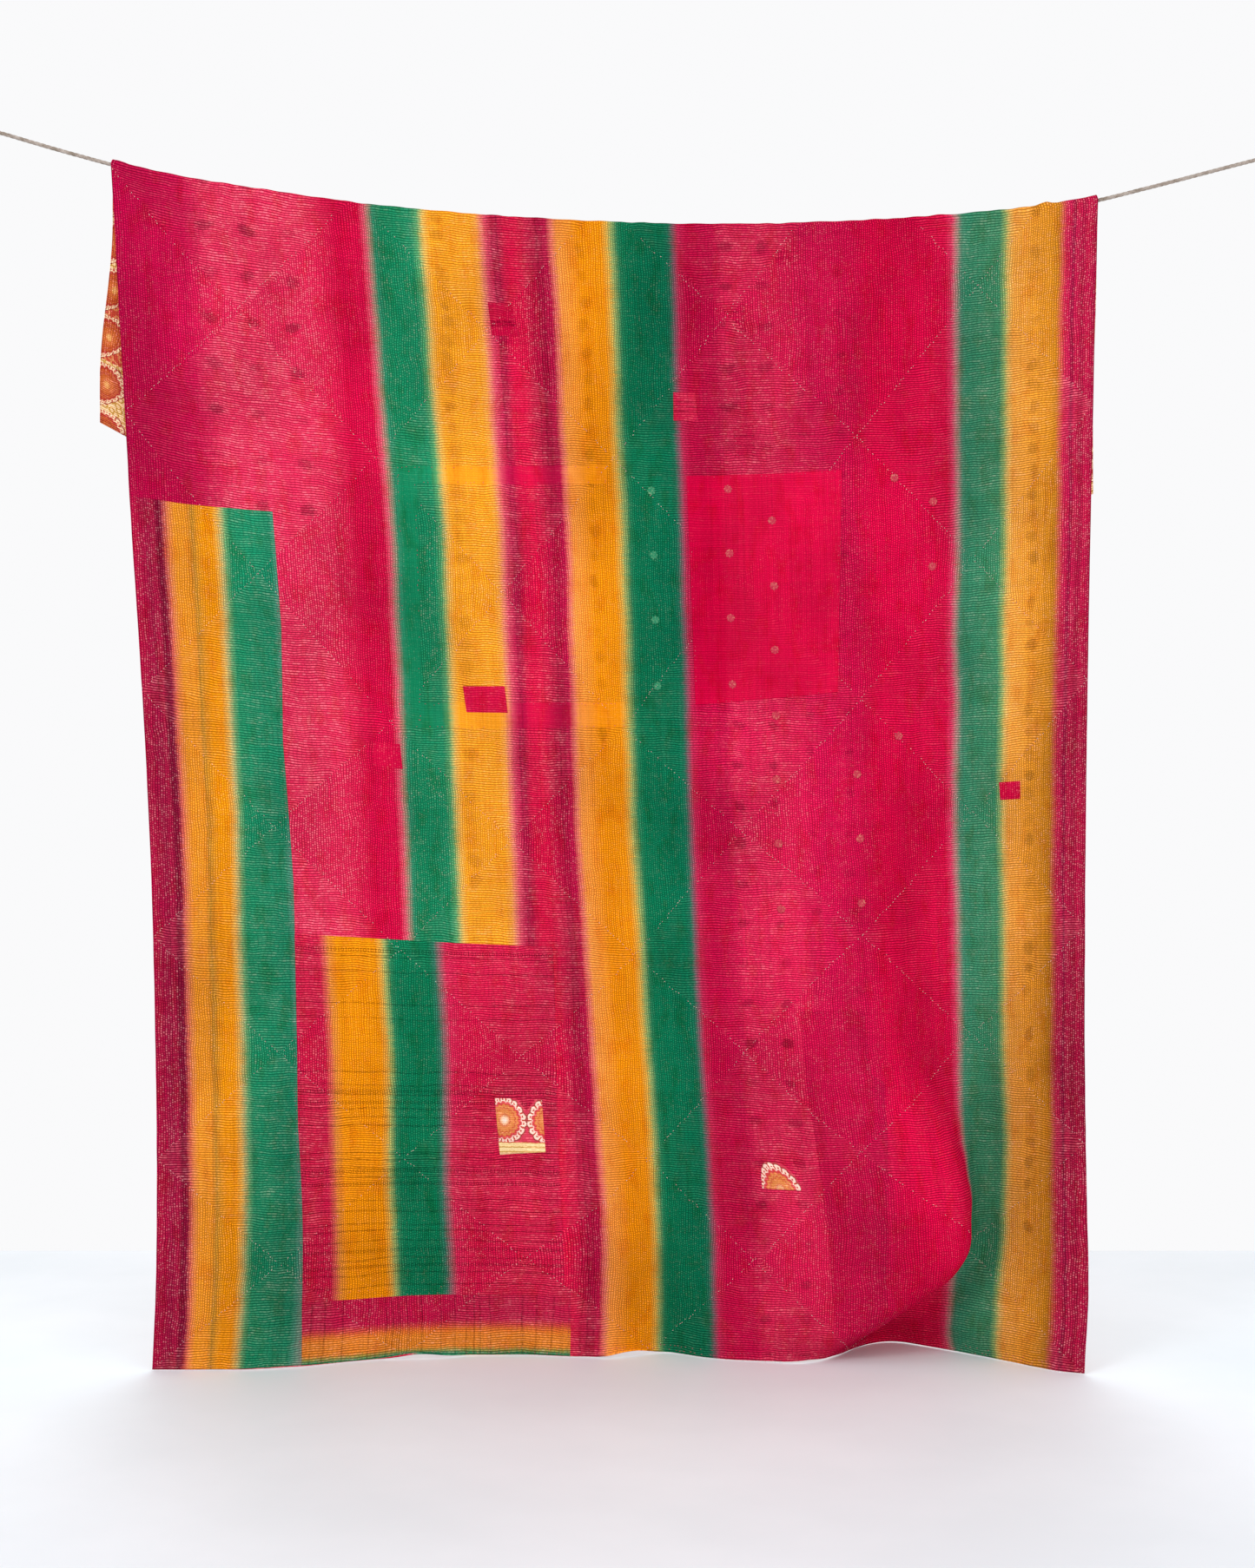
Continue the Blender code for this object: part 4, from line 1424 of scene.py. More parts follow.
# The main cloth's dye from its left edge to its right one, in millimetres
FRONT_DYE = (
    (0, "#a8083c"), (70, "#b40a40"), (112, "#bc0e44"), (150, "#ca1e4a"), (300, "#ce1f4a"), (352, "#bc0a3a"),
    (388, "#c00b3c"), (396, "#cc4a60"), (402, "#a07468"), (410, "#2c7c5c"), (420, "#10764f"),
    (470, "#167c55"), (479, "#4d8f5c"), (484, "#9aa05e"), (490, "#d9a34a"), (498, "#e8921e"),
    (562, "#e8901c"), (571, "#e89238"), (578, "#de7660"), (585, "#cb4058"), (594, "#b41444"),
    (602, "#a20c3a"), (614, "#c80e3e"), (634, "#cc0e3e"), (652, "#b60e3c"), (668, "#9e0b36"),
    (682, "#ae0f3e"), (690, "#d86a58"), (698, "#e68a3c"), (730, "#e5840c"), (766, "#e2850e"),
    (775, "#cf9c40"), (782, "#8a9c5c"), (791, "#26754f"), (800, "#0a6c49"), (862, "#086647"),
    (870, "#20644e"), (876, "#74505a"), (884, "#b42048"), (896, "#b0083a"), (940, "#b40a3e"),
    (956, "#c41445"), (1040, "#c61645"), (1090, "#bc0e42"), (1150, "#be0c40"), (1180, "#c6083c"),
    (1300, "#c2093c"), (1310, "#c63056"), (1317, "#a4706e"), (1325, "#3f785f"), (1334, "#2a7657"),
    (1386, "#357a56"), (1394, "#7a9658"), (1401, "#c9a052"), (1409, "#da9038"), (1440, "#dc8c2a"),
    (1468, "#ca801f"), (1479, "#b5721a"), (1486, "#bd5040"), (1492, "#b62044"), (1499, "#b81646"),
    (1504, "#8a0e38"), (1509, "#b41442"), (1522, "#9c1038"), (1526, "#b41240"), (1540, "#a20c3a"),
)
FRONT_THREAD = (
    (0, 0.10), (112, 0.12), (150, 0.62), (300, 0.60), (345, 0.06), (400, 0.10), (412, 0.18), (480, 0.22),
    (500, 0.20), (575, 0.25), (600, 0.40), (618, 0.16), (650, 0.40), (690, 0.20), (700, 0.08), (780, 0.06),
    (880, 0.08), (940, 0.12), (956, 0.30), (1040, 0.28), (1090, 0.13), (1160, 0.11), (1185, 0.06),
    (1300, 0.09), (1320, 0.22), (1400, 0.22), (1480, 0.20), (1495, 0.50), (1540, 0.42),
)
# Woven spots of the main cloth
FRONT_SPOTS = (
    (0.113, 0.305, 0.060, 0.483, 0.064, 0.0705, 0.0135, 0.0090, 0.26),
    (0.922, 1.042, 0.030, 0.350, 0.060, 0.063, 0.010, 0.0075, 0.20),
    (0.928, 1.048, 1.290, 1.760, 0.060, 0.063, 0.010, 0.0080, 0.26),
    (1.042, 1.162, 0.830, 1.200, 0.060, 0.063, 0.009, 0.0070, 0.14),
    (0.494, 0.530, 0.030, 0.340, 0.036, 0.0270, 0.009, 0.0085, 0.20),
    (0.494, 0.530, 0.400, 1.120, 0.036, 0.0338, 0.012, 0.0115, 0.15),
    (1.424, 1.460, 0.540, 1.600, 0.036, 0.0338, 0.009, 0.0110, 0.22),
    (0.716, 0.752, 0.400, 0.800, 0.036, 0.0400, 0.009, 0.0110, 0.16),
)
# Areas of painted shade on the main cloth
FRONT_PAINTED_SHADE_AREAS = (
    (1.00, 0.16, 0.50, 0.62, 0.17),
    (1.54, 1.35, 0.24, 0.70, 0.32),
    (0.74, 0.20, 0.08, 0.50, 0.05),
)
# Dark lines of the main cloth's warp, in millimetres: across, half width, depth
FRONT_LINES = (
    (597, 1.1, 0.24), (605, 0.8, 0.20), (613, 0.7, 0.16), (640, 0.7, 0.16), (655, 0.9, 0.22),
    (664, 1.1, 0.26), (672, 0.9, 0.22), (680, 0.7, 0.16), (940, 0.6, 0.10), (1441, 3.2, 0.10),
    (1452, 2.4, 0.12), (1463, 1.6, 0.12), (1488, 0.8, 0.20), (1496, 0.8, 0.18), (1516, 0.7, 0.16),
)


def shell(outer: Array, inner: Array, u: Array, v: Array, blocks: QuiltBlocks) -> tuple[Array, Array, dict]:
    """Closes two faces of cloth into one shell, with a band of faces all round.

    Args:
        outer: the outer face's points, rows by columns by 3.
        inner: the inner face's.
        u: the points' places across the flat cloth.
        v: their places down it.
        blocks: the quilting.

    Returns:
        The points, the faces, and the maps flat, in metres, and blocks.
    """
    rows, columns = u.shape
    count = rows * columns
    rim = grid_rim(rows, columns)
    after = np.roll(rim, -1)
    band = np.stack([rim, after, after + count, rim + count], axis=1)
    quads = np.concatenate([grid_quads(rows, columns), grid_quads(rows, columns, count, True), band])
    flat = np.tile(np.stack([u, v], axis=-1).reshape(-1, 2), (2, 1))[quads]
    middle = flat.mean(axis=1, keepdims=True)
    inside = blocks.inside(flat[..., 0], flat[..., 1], middle[..., 0], middle[..., 1])
    points = np.concatenate([outer.reshape(-1, 3), inner.reshape(-1, 3)])
    return points, quads, {"flat": flat.reshape(-1, 2), "blocks": inside.reshape(-1, 2)}


@dataclass
class QuiltCloth:
    """The quilt's cloth: a closed shell of its thickness round the draped middle surface."""

    surface: ClothSurface
    blocks: QuiltBlocks

    def build(self) -> Piece:
        """Makes the cloth.

        The outer and inner faces are the middle surface moved by half the thickness along its normals.

        Returns:
            The piece.
        """
        outer = self.surface.outer
        v, u = np.meshgrid(self.surface.v, self.surface.u, indexing="ij")
        points, quads, maps = shell(outer, self.surface.middle * 2 - outer, u, v, self.blocks)
        a_side = (u.shape[0] - 1) * (u.shape[1] - 1)
        of_face = np.repeat([0, 1, 0], [a_side, a_side, len(quads) - 2 * a_side])
        dipped = DippedCotton(
            "dip_dyed_cotton",
            FRONT_DYE,
            thread=FRONT_THREAD,
            spots=FRONT_SPOTS,
            painted_shade_areas=FRONT_PAINTED_SHADE_AREAS,
            warp_lines=FRONT_LINES,
        )
        finishes = [dipped.build(), PrintedCotton().build()]
        made = new_piece("quilt_cloth", points, [quads], finishes, of_face, maps)
        return carried(made, Slot.COTTON, "quilt")


@dataclass
class SewnPatch:
    """A piece of cloth sewn on to the front, with its outline as two side lines over its height.

    Each row gives v, the left edge and the right edge, in millimetres of the flat cloth. A notch gives the
    middle across, the half width and the depth of a dip in the top edge, in millimetres.
    """

    name: str
    rows: tuple[tuple[float, float, float], ...]
    finish: DippedCotton | PrintedCotton
    rise: float = 0.0007
    top_slope: float = 0.0
    bottom_slope: float = 0.0
    sunk: float = 0.0006
    step: float = 0.007
    edge_step: float = 0.0012
    edge_rise: float = 0.25
    rounding: float = 0.0022
    stitch_inset: float = 0.003
    notch: tuple[float, float, float] | None = None

    def build(self, surface: ClothSurface, blocks: QuiltBlocks) -> Piece:
        """Lays the patch on the cloth.

        Its outer face is the cloth's, raised by its thickness; its edge rounds down into the cloth.

        Args:
            surface: the cloth's face.
            blocks: the quilting that runs on through the patch.

        Returns:
            The piece.
        """
        u, v, border = self.grid()
        base, normal = surface.at(u, v)
        rounded = np.sqrt(np.clip(1 - (1 - np.clip(border, 0, 1)) ** 2, 0, 1))
        outer = base + normal * (self.rise * (self.edge_rise + (1 - self.edge_rise) * rounded))[..., None]
        points, quads, maps = shell(outer, base - normal * self.sunk, u, v, blocks)
        made = new_piece(self.name, points, [quads], [self.finish.build()], None, maps)
        return carried(made, Slot.COTTON)

    def grid(self) -> tuple[Array, Array, Array]:
        """Spreads a grid between the two side lines.

        Returns:
            u and v of each point, and how near it is to the border: 0 on it, 1 where the rounding ends.
        """
        table = np.array(self.rows) * MM
        width = float((table[:, 2] - table[:, 1]).max())
        height = float(table[-1, 0] - table[0, 0])
        across, down = self.edged(width), self.edged(height)
        v = table[0, 0] + down * height
        left = np.interp(v, table[:, 0], table[:, 1])[:, None]
        right = np.interp(v, table[:, 0], table[:, 2])[:, None]
        u = left + (right - left) * across
        tilt = self.top_slope + (self.bottom_slope - self.top_slope) * down[:, None]
        v = np.broadcast_to(v[:, None], u.shape) + tilt * (u - table[0, 1])
        if self.notch:
            at, half, depth = (value * MM for value in self.notch)
            dip = depth * np.clip(1 - np.abs(u - at) / half, 0, 1)
            v = v + dip * (1 - down[:, None])
        steps_across = np.minimum(across, 1 - across) * width
        steps_down = np.minimum(down, 1 - down)[:, None] * height
        return u, v, np.minimum(steps_across, steps_down) / self.rounding

    def covers(self, u: Array, v: Array) -> Array:
        """Tells which places lie under the patch, between its side lines."""
        down, left, right = (np.array(self.rows) * MM).T
        beside = (u > np.interp(v, down, left)) & (u < np.interp(v, down, right))
        return beside & (v > down[0]) & (v < down[-1])

    def edged(self, size: float) -> Array:
        """Gives shares of a length in even steps, with two close ones at both ends."""
        count = max(2, math.ceil((size - 4 * self.edge_step) / self.step))
        inner = np.linspace(2 * self.edge_step, size - 2 * self.edge_step, count + 1)
        return np.concatenate([[0.0, self.edge_step], inner, [size - self.edge_step, size]]) / size

    def seams(self) -> list[Array]:
        """Gives the lines of stitches round the patch, a little inside its edge, as points u and v.

        Returns:
            The top, bottom, left and right lines.
        """
        u, v, _ = self.grid()
        inset = self.stitch_inset
        top = np.stack([u[0], v[0] + inset], axis=1)
        bottom = np.stack([u[-1], v[-1] - inset], axis=1)
        left = np.stack([u[:, 0] + inset, v[:, 0]], axis=1)
        right = np.stack([u[:, -1] - inset, v[:, -1]], axis=1)
        return [top, bottom, left, right]


@dataclass
class Stitching:
    """Rows of single running stitches in thick thread, as short arched lengths that dive into the cloth."""

    name: str
    pitch: float
    length: float
    radius: float = 0.00045
    sides: int = 4
    stray: float = 0.0006
    lift: float = 0.0
    lost: float = 0.0
    askew: float = 0.08
    uneven: tuple[float, float] = (0.75, 1.2)
    # How high a stitch arches, and how deep its ends dive, in radii
    arched: float = 1.5
    dived: float = 0.5

    def build(self, surface: ClothSurface, lines: list[Array], finish: Material) -> Piece:
        """Makes all the stitches of some lines as one mesh.

        A stitch is two pointed ends with two rings between them, arched over the cloth.

        Args:
            surface: the cloth's face.
            lines: each line as points u and v on the flat cloth.
            finish: the thread.

        Returns:
            The piece.
        """
        middles, ways = [], []
        for line in lines:
            lengths = np.concatenate([[0.0], np.cumsum(np.hypot(*np.diff(line, axis=0).T))])
            count = int(lengths[-1] / self.pitch)
            if count < 1:
                continue
            at = (np.arange(count) + 0.5) * lengths[-1] / count
            middle, ahead, behind = (
                np.stack([np.interp(at + shift, lengths, line[:, k]) for k in (0, 1)], axis=1)
                for shift in (0.0, MM, -MM)
            )
            middles.append(middle)
            ways.append(unit(ahead - behind))
        rng = np.random.default_rng(SEED)
        middle, way = np.concatenate(middles), np.concatenate(ways)
        kept = rng.random(len(middle)) >= self.lost
        middle, way = middle[kept], way[kept]
        middle = middle + rng.normal(0, self.stray, middle.shape)
        way = unit(way + rng.normal(0, self.askew, way.shape))
        half = way * (self.length / 2 * rng.uniform(*self.uneven, len(way)))[:, None]
        start, _ = surface.at(*(middle - half).T)
        end, _ = surface.at(*(middle + half).T)
        _, normal = surface.at(*middle.T)
        centre, along = (start + end) / 2, (end - start) / 2
        beside = unit(np.cross(unit(along), normal))

        angles = 2 * math.pi * (np.arange(self.sides) + 0.5) / self.sides
        rings = []
        for share, thick in ((-1.0, 0.0), (-0.55, 1.0), (0.55, 1.0), (1.0, 0.0)):
            arch = self.radius * self.arched * (1 - share**2) - self.radius * self.dived
            ring_centre = centre + along * share + normal * (self.lift + arch)
            spread = np.cos(angles)[:, None, None] * beside + np.sin(angles)[:, None, None] * normal
            ring = ring_centre + spread * self.radius * thick
            rings.append(ring[:1] if thick == 0.0 else ring)
        points = np.concatenate(rings).transpose(1, 0, 2)
        first_tips, last_tips = np.split(1 + ring_caps(2, self.sides, -1, 2 * self.sides), 2)
        offset = (np.arange(len(centre)) * (2 + 2 * self.sides))[:, None, None]
        groups = (first_tips, 1 + ring_faces(2, self.sides), last_tips)
        faces = [(offset + group).reshape(-1, group.shape[1]) for group in groups]
        return carried(new_piece(self.name, points, faces, [finish]), Slot.COTTON)


def tube(
    name: str,
    path: Array,
    radius: float,
    out: Array,
    finish: Material,
    sides: int = 24,
    lay: float = 0.027,
    strands: int = 3,
    groove: float = 0.38,
    power: float = 0.55,
) -> Piece:
    """Makes a twisted rope along a path.

    A ring's radius is the rope's times 1 less the groove, plus the groove times a power of the cosine over
    each strand's arc, and the strands turn once round in each lay.

    Args:
        name: the piece's name.
        path: the middle line, n by 3.
        radius: the rope's radius.
        out: a direction at each point that isn't along the path, to start the rings from.
        finish: the material.
        sides: points in a ring.
        lay: length of one turn.
        strands: how many strands.
        groove: depth between two strands, as a share of the radius.
        power: of the cosine; the smaller, the fuller each strand.

    Returns:
        The object.
    """
    along = unit(np.gradient(path, axis=0))
    first = unit(out - along * (out * along).sum(axis=1, keepdims=True))
    second = np.cross(along, first)
    lengths = np.concatenate([[0.0], np.cumsum(np.linalg.norm(np.diff(path, axis=0), axis=1))])
    angle = 2 * math.pi * np.arange(sides) / sides
    turned = (angle - 2 * math.pi * lengths[:, None] / lay) * strands / 2
    ring_radius = radius * (1 - groove + groove * np.abs(np.cos(turned)) ** power)
    spread = np.cos(angle)[:, None] * first[:, None] + np.sin(angle)[:, None] * second[:, None]
    rings = (path[:, None] + spread * ring_radius[..., None]).reshape(-1, 3)
    n = len(path)
    caps = ring_caps(n, sides, n * sides, n * sides + 1)
    round_it = np.arange(sides + 1) * 2 * math.pi * radius / sides
    lay_map = np.stack(np.meshgrid(lengths, round_it, indexing="ij"), axis=-1).reshape(-1, 2)
    laid = lay_map[grid_quads(n, sides + 1)[:, [0, 3, 2, 1]]].reshape(-1, 2)
    laid = np.concatenate([laid, np.zeros((caps.size, 2))])
    points = np.concatenate([rings, path[:1], path[-1:]])
    return new_piece(name, points, [ring_faces(n, sides), caps], [finish], None, {"lay": laid})


@dataclass
class RopeLine:
    """The rope from knot to knot."""

    route: RopeRoute
    step: float = 0.0016

    def build(self, finish: Material) -> Piece:
        """Args:
            finish: the jute.

        Returns:
            The piece.
        """
        path = self.route.points(self.step)
        out = np.broadcast_to([0.0, 1.0, 0.0], path.shape)
        piece = tube("rope_line", path, self.route.diameter / 2, out, finish)
        length = float(np.linalg.norm(np.diff(path, axis=0), axis=1).sum())
        carried(piece, Slot.JUTE, "rope")
        LOG.info("the rope is %.3f m long from knot to knot", length)
        self.path, self.length = path, length
        return piece


@dataclass
class RopeKnot:
    """The rope's loop through an eye's bow, and the turns wound round it that close it."""

    side: str
    bow: Array
    way: Array
    rope_radius: float = 0.003
    start: float = 0.030
    end: float = 0.0625
    turns: int = 5
    loop_radius: float = 0.007
    pinch: float = 0.0034
    turn_radius: float = 0.0058
    first_turn: float = 0.6
    tucked: float = 0.35
    tuck_share: float = 0.06
    squeezed: float = 0.97

    def build(self, finish: Material) -> Piece:
        """Makes the loop, the rope inside the turns and the turns as one piece.

        The loop is a half circle round the bar with two straight legs. The turns are a helix of the same
        rope, whose ends tuck in towards the middle.

        Args:
            finish: the jute.

        Returns:
            The piece.
        """
        aside = np.array([0.0, 1.0, 0.0])
        angle = np.linspace(math.pi / 2, 3 * math.pi / 2, 25)[:, None]
        bend = self.bow + (self.way * np.cos(angle) + aside * np.sin(angle)) * self.loop_radius
        inside = (self.start + self.end) / 2
        legs = [self.leg(sign, inside, aside) for sign in (1, -1)]
        path = np.concatenate([legs[0], bend, legs[1][::-1]])
        flat_normal = np.broadcast_to(np.cross(self.way, aside), path.shape)
        loop = tube("loop_" + self.side, path, self.rope_radius, flat_normal, finish, sides=16)
        middle = self.bow + self.way * np.linspace(inside, self.end, 14)[:, None]
        core = tube("core_" + self.side, middle, self.rope_radius, flat_normal[:14], finish, sides=16)

        share = np.linspace(0, 1, 56 * self.turns)[:, None]
        turn = 2 * math.pi * self.turns * share + self.first_turn
        up = np.cross(self.way, aside)
        radial = aside * np.cos(turn) + up * np.sin(turn)
        tuck = 1 - self.tucked * (1 - eased(np.minimum(share, 1 - share) / self.tuck_share))
        low, high = self.start + self.rope_radius, self.end - self.rope_radius
        helix = self.bow + self.way * (low + (high - low) * share) + radial * self.turn_radius * tuck
        wound = tube("turns_" + self.side, helix, self.rope_radius * self.squeezed, radial, finish, sides=16)
        return self.merged([loop, core, wound])

    def leg(self, sign: int, inside: float, aside: Array) -> Array:
        """Gives one leg of the loop, from inside the turns to the bend, drawn in by an eased step."""
        along = np.linspace(inside, 0.0, 18, endpoint=False)[:, None]
        off = self.pinch + (self.loop_radius - self.pinch) * (1 - eased(along / self.start))
        return self.bow + self.way * along + aside * sign * off

    def merged(self, parts: list[Piece]) -> Piece:
        """Joins the parts into one mesh object that stands for the knot's solid.

        Args:
            parts: the loop, the core and the turns.

        Returns:
            The joined piece.
        """
        bpy.ops.object.select_all(action="DESELECT")
        for part in parts:
            part.select_set(True)
        bpy.context.view_layer.objects.active = parts[0]
        bpy.ops.object.join()
        parts[0].name = parts[0].data.name = "knot_" + self.side
        return carried(parts[0], Slot.JUTE, "rope_knot_" + self.side)


@dataclass
class PlateScrews:
    """The four countersunk-cross screws of an eye plate, as low domes with a cross pressed in."""

    side: str
    face_x: float
    out: int
    middle_z: float
    half_across: float = 0.015
    half_up: float = 0.024
    radius: float = 0.0040
    height: float = 0.0020
    cross_reach: float = 0.0024
    cross_half_width: float = 0.00055
    cross_depth: float = 0.0011
    sunk: float = 0.0003
    flatness: float = 2.6

    def build(self, finish: Material) -> Piece:
        """Makes the screws of one plate.

        A head's height is that of a flattened dome, less the cross where it is near a screw's axes.

        Args:
            finish: the steel.

        Returns:
            The piece.
        """
        rings, sides = 16, 48
        share = np.linspace(0, 1, rings + 1)[1:]
        angle = 2 * math.pi * np.arange(sides) / sides
        y = self.radius * share[:, None] * np.cos(angle)
        z = self.radius * share[:, None] * np.sin(angle)
        dome = self.height * np.sqrt(np.clip(1 - share**self.flatness, 0, 1))[:, None] * np.ones(sides)
        near_axis = np.minimum(np.abs(y), np.abs(z)) < self.cross_half_width
        in_cross = near_axis & (np.hypot(y, z) < self.cross_reach)
        rise = np.where(in_cross, dome - self.cross_depth, dome)
        tip, foot = rings * sides, rings * sides + 1
        groups = [ring_faces(rings, sides), ring_caps(rings, sides, tip, foot)]
        if self.out < 0:
            groups = [group[:, ::-1] for group in groups]
        ring_points = np.stack([self.out * (rise - self.sunk), y, z], axis=-1).reshape(-1, 3)
        top = self.height - self.cross_depth - self.sunk
        ends = np.array([[self.out * top, 0, 0], [-self.out * self.sunk, 0, 0]])
        head = np.concatenate([ring_points, ends])
        heads, faces = [], []
        for i, (across, up) in enumerate(((-1, -1), (1, -1), (1, 1), (-1, 1))):
            heads.append(head + [self.face_x, across * self.half_across, self.middle_z + up * self.half_up])
            faces += [group + i * len(head) for group in groups]
        made = new_piece("plate_screws_" + self.side, np.concatenate(heads), faces, [finish])
        return carried(made, Slot.STEEL)


@dataclass
class Rosettes:
    """Small woven rosettes of metallic thread: low rings of petals, pressed on to the cloth."""

    name: str
    # Place across, first one down, how many, in metres and pieces
    columns: tuple[tuple[float, float, int], ...]
    pitch: float = 0.1027
    radius: float = 0.0068
    rise: float = 0.0009
    sunk: float = 0.0004
    petals: int = 8
    wave: float = 0.12
    stray: float = MM
    dimple: float = 0.6

    def build(self, surface: ClothSurface, finish: Material) -> Piece:
        """Makes all the rosettes as one mesh.

        The outline's radius is waved by the cosine of the angle times the number of petals, and the middle
        is a shallow dimple.

        Args:
            surface: the cloth's face.
            finish: the thread.

        Returns:
            The piece.
        """
        rng = np.random.default_rng(SEED)
        sides = 32
        angle = 2 * math.pi * np.arange(sides) / sides
        levels = ((0.30, 0.75), (0.62, 1.0), (0.90, 0.9), (1.0, -self.sunk / self.rise))
        tip = len(levels) * sides
        groups = (ring_faces(len(levels), sides), ring_caps(len(levels), sides, tip, tip + 1))
        places = [(u, first + i * self.pitch) for u, first, count in self.columns for i in range(count)]
        points, faces = [], []
        for number, place in enumerate(places):
            middle = np.array(place) + rng.normal(0, self.stray, 2)
            for share, level in levels:
                reach = self.radius * share * (1 + self.wave * np.cos(self.petals * angle))
                u, v = middle[0] + reach * np.cos(angle), middle[1] + reach * np.sin(angle)
                base, normal = surface.at(u, v)
                points.append(base + normal * self.rise * level)
            centre, normal = surface.at(middle[:1], middle[1:])
            top, bottom = centre + normal * self.rise * self.dimple, centre - normal * self.sunk
            points.append(np.concatenate([top, bottom]))
            faces += [number * (tip + 2) + group for group in groups]
        return carried(new_piece(self.name, np.concatenate(points), faces, [finish]), Slot.COTTON)


@dataclass
class Studio:
    """A pale floor, soft light and the camera, level and square to the quilt."""

    floor: float
    camera_at: tuple[float, float, float] = (1.1033, -3.2, -1.030)
    lens: float = 47.84
    sensor: float = 36.0
    floor_back: float = 0.80
    floor_reach: float = 7.0
    sky: str = "#f4f4f5"
    sky_strength: float = 1.056

    def build(self) -> None:
        """Makes the camera, the lights, the world and the floor."""
        scene = bpy.context.scene
        camera = bpy.data.cameras.new("camera")
        camera.lens = self.lens
        camera.sensor_width = self.sensor
        camera.sensor_fit = "AUTO"
        holder = bpy.data.objects.new("camera", camera)
        holder.location = self.camera_at
        holder.rotation_euler = (math.pi / 2, 0.0, 0.0)
        scene.collection.objects.link(holder)
        scene.camera = holder
        scene.view_settings.view_transform = "Standard"
        world = bpy.data.worlds.new("studio")
        world.use_nodes = True
        back = world.node_tree.nodes["Background"]
        back.inputs["Color"].default_value = linear(self.sky)
        back.inputs["Strength"].default_value = self.sky_strength
        scene.world = world
        self.lamp("key", (-1.3, -3.4, 1.3), (1.0, 0.0, -0.9), 1.6, 62.0)
        self.lamp("fill", (3.4, -2.8, -0.9), (1.3, 0.0, -1.3), 2.0, 26.0)
        self.lamp("back", (1.1, 3.2, 1.2), (1.1, 0.0, -0.9), 2.2, 30.0)
        left, right = self.camera_at[0] - self.floor_reach, self.camera_at[0] + self.floor_reach
        near, far = -self.floor_reach, self.floor_back
        corners = ((left, near), (right, near), (right, far), (left, far))
        points = np.array([(x, y, self.floor) for x, y in corners])
        new_piece("studio_floor", points, [np.array([[0, 1, 2, 3]])], [PaintedFloor().build()])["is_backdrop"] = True

    def lamp(self, name: str, at: tuple, toward: tuple, size: float, power: float) -> None:
        """Adds a square soft light.

        Args:
            name: its name.
            at: where it stands.
            toward: what it points at.
            size: its side.
            power: its power in watts.
        """
        light = bpy.data.lights.new(name, "AREA")
        light.size = size
        light.energy = power
        holder = bpy.data.objects.new(name, light)
        holder.location = at
        holder.rotation_euler = (Vector(toward) - Vector(at)).to_track_quat("-Z", "Y").to_euler()
        bpy.context.scene.collection.objects.link(holder)


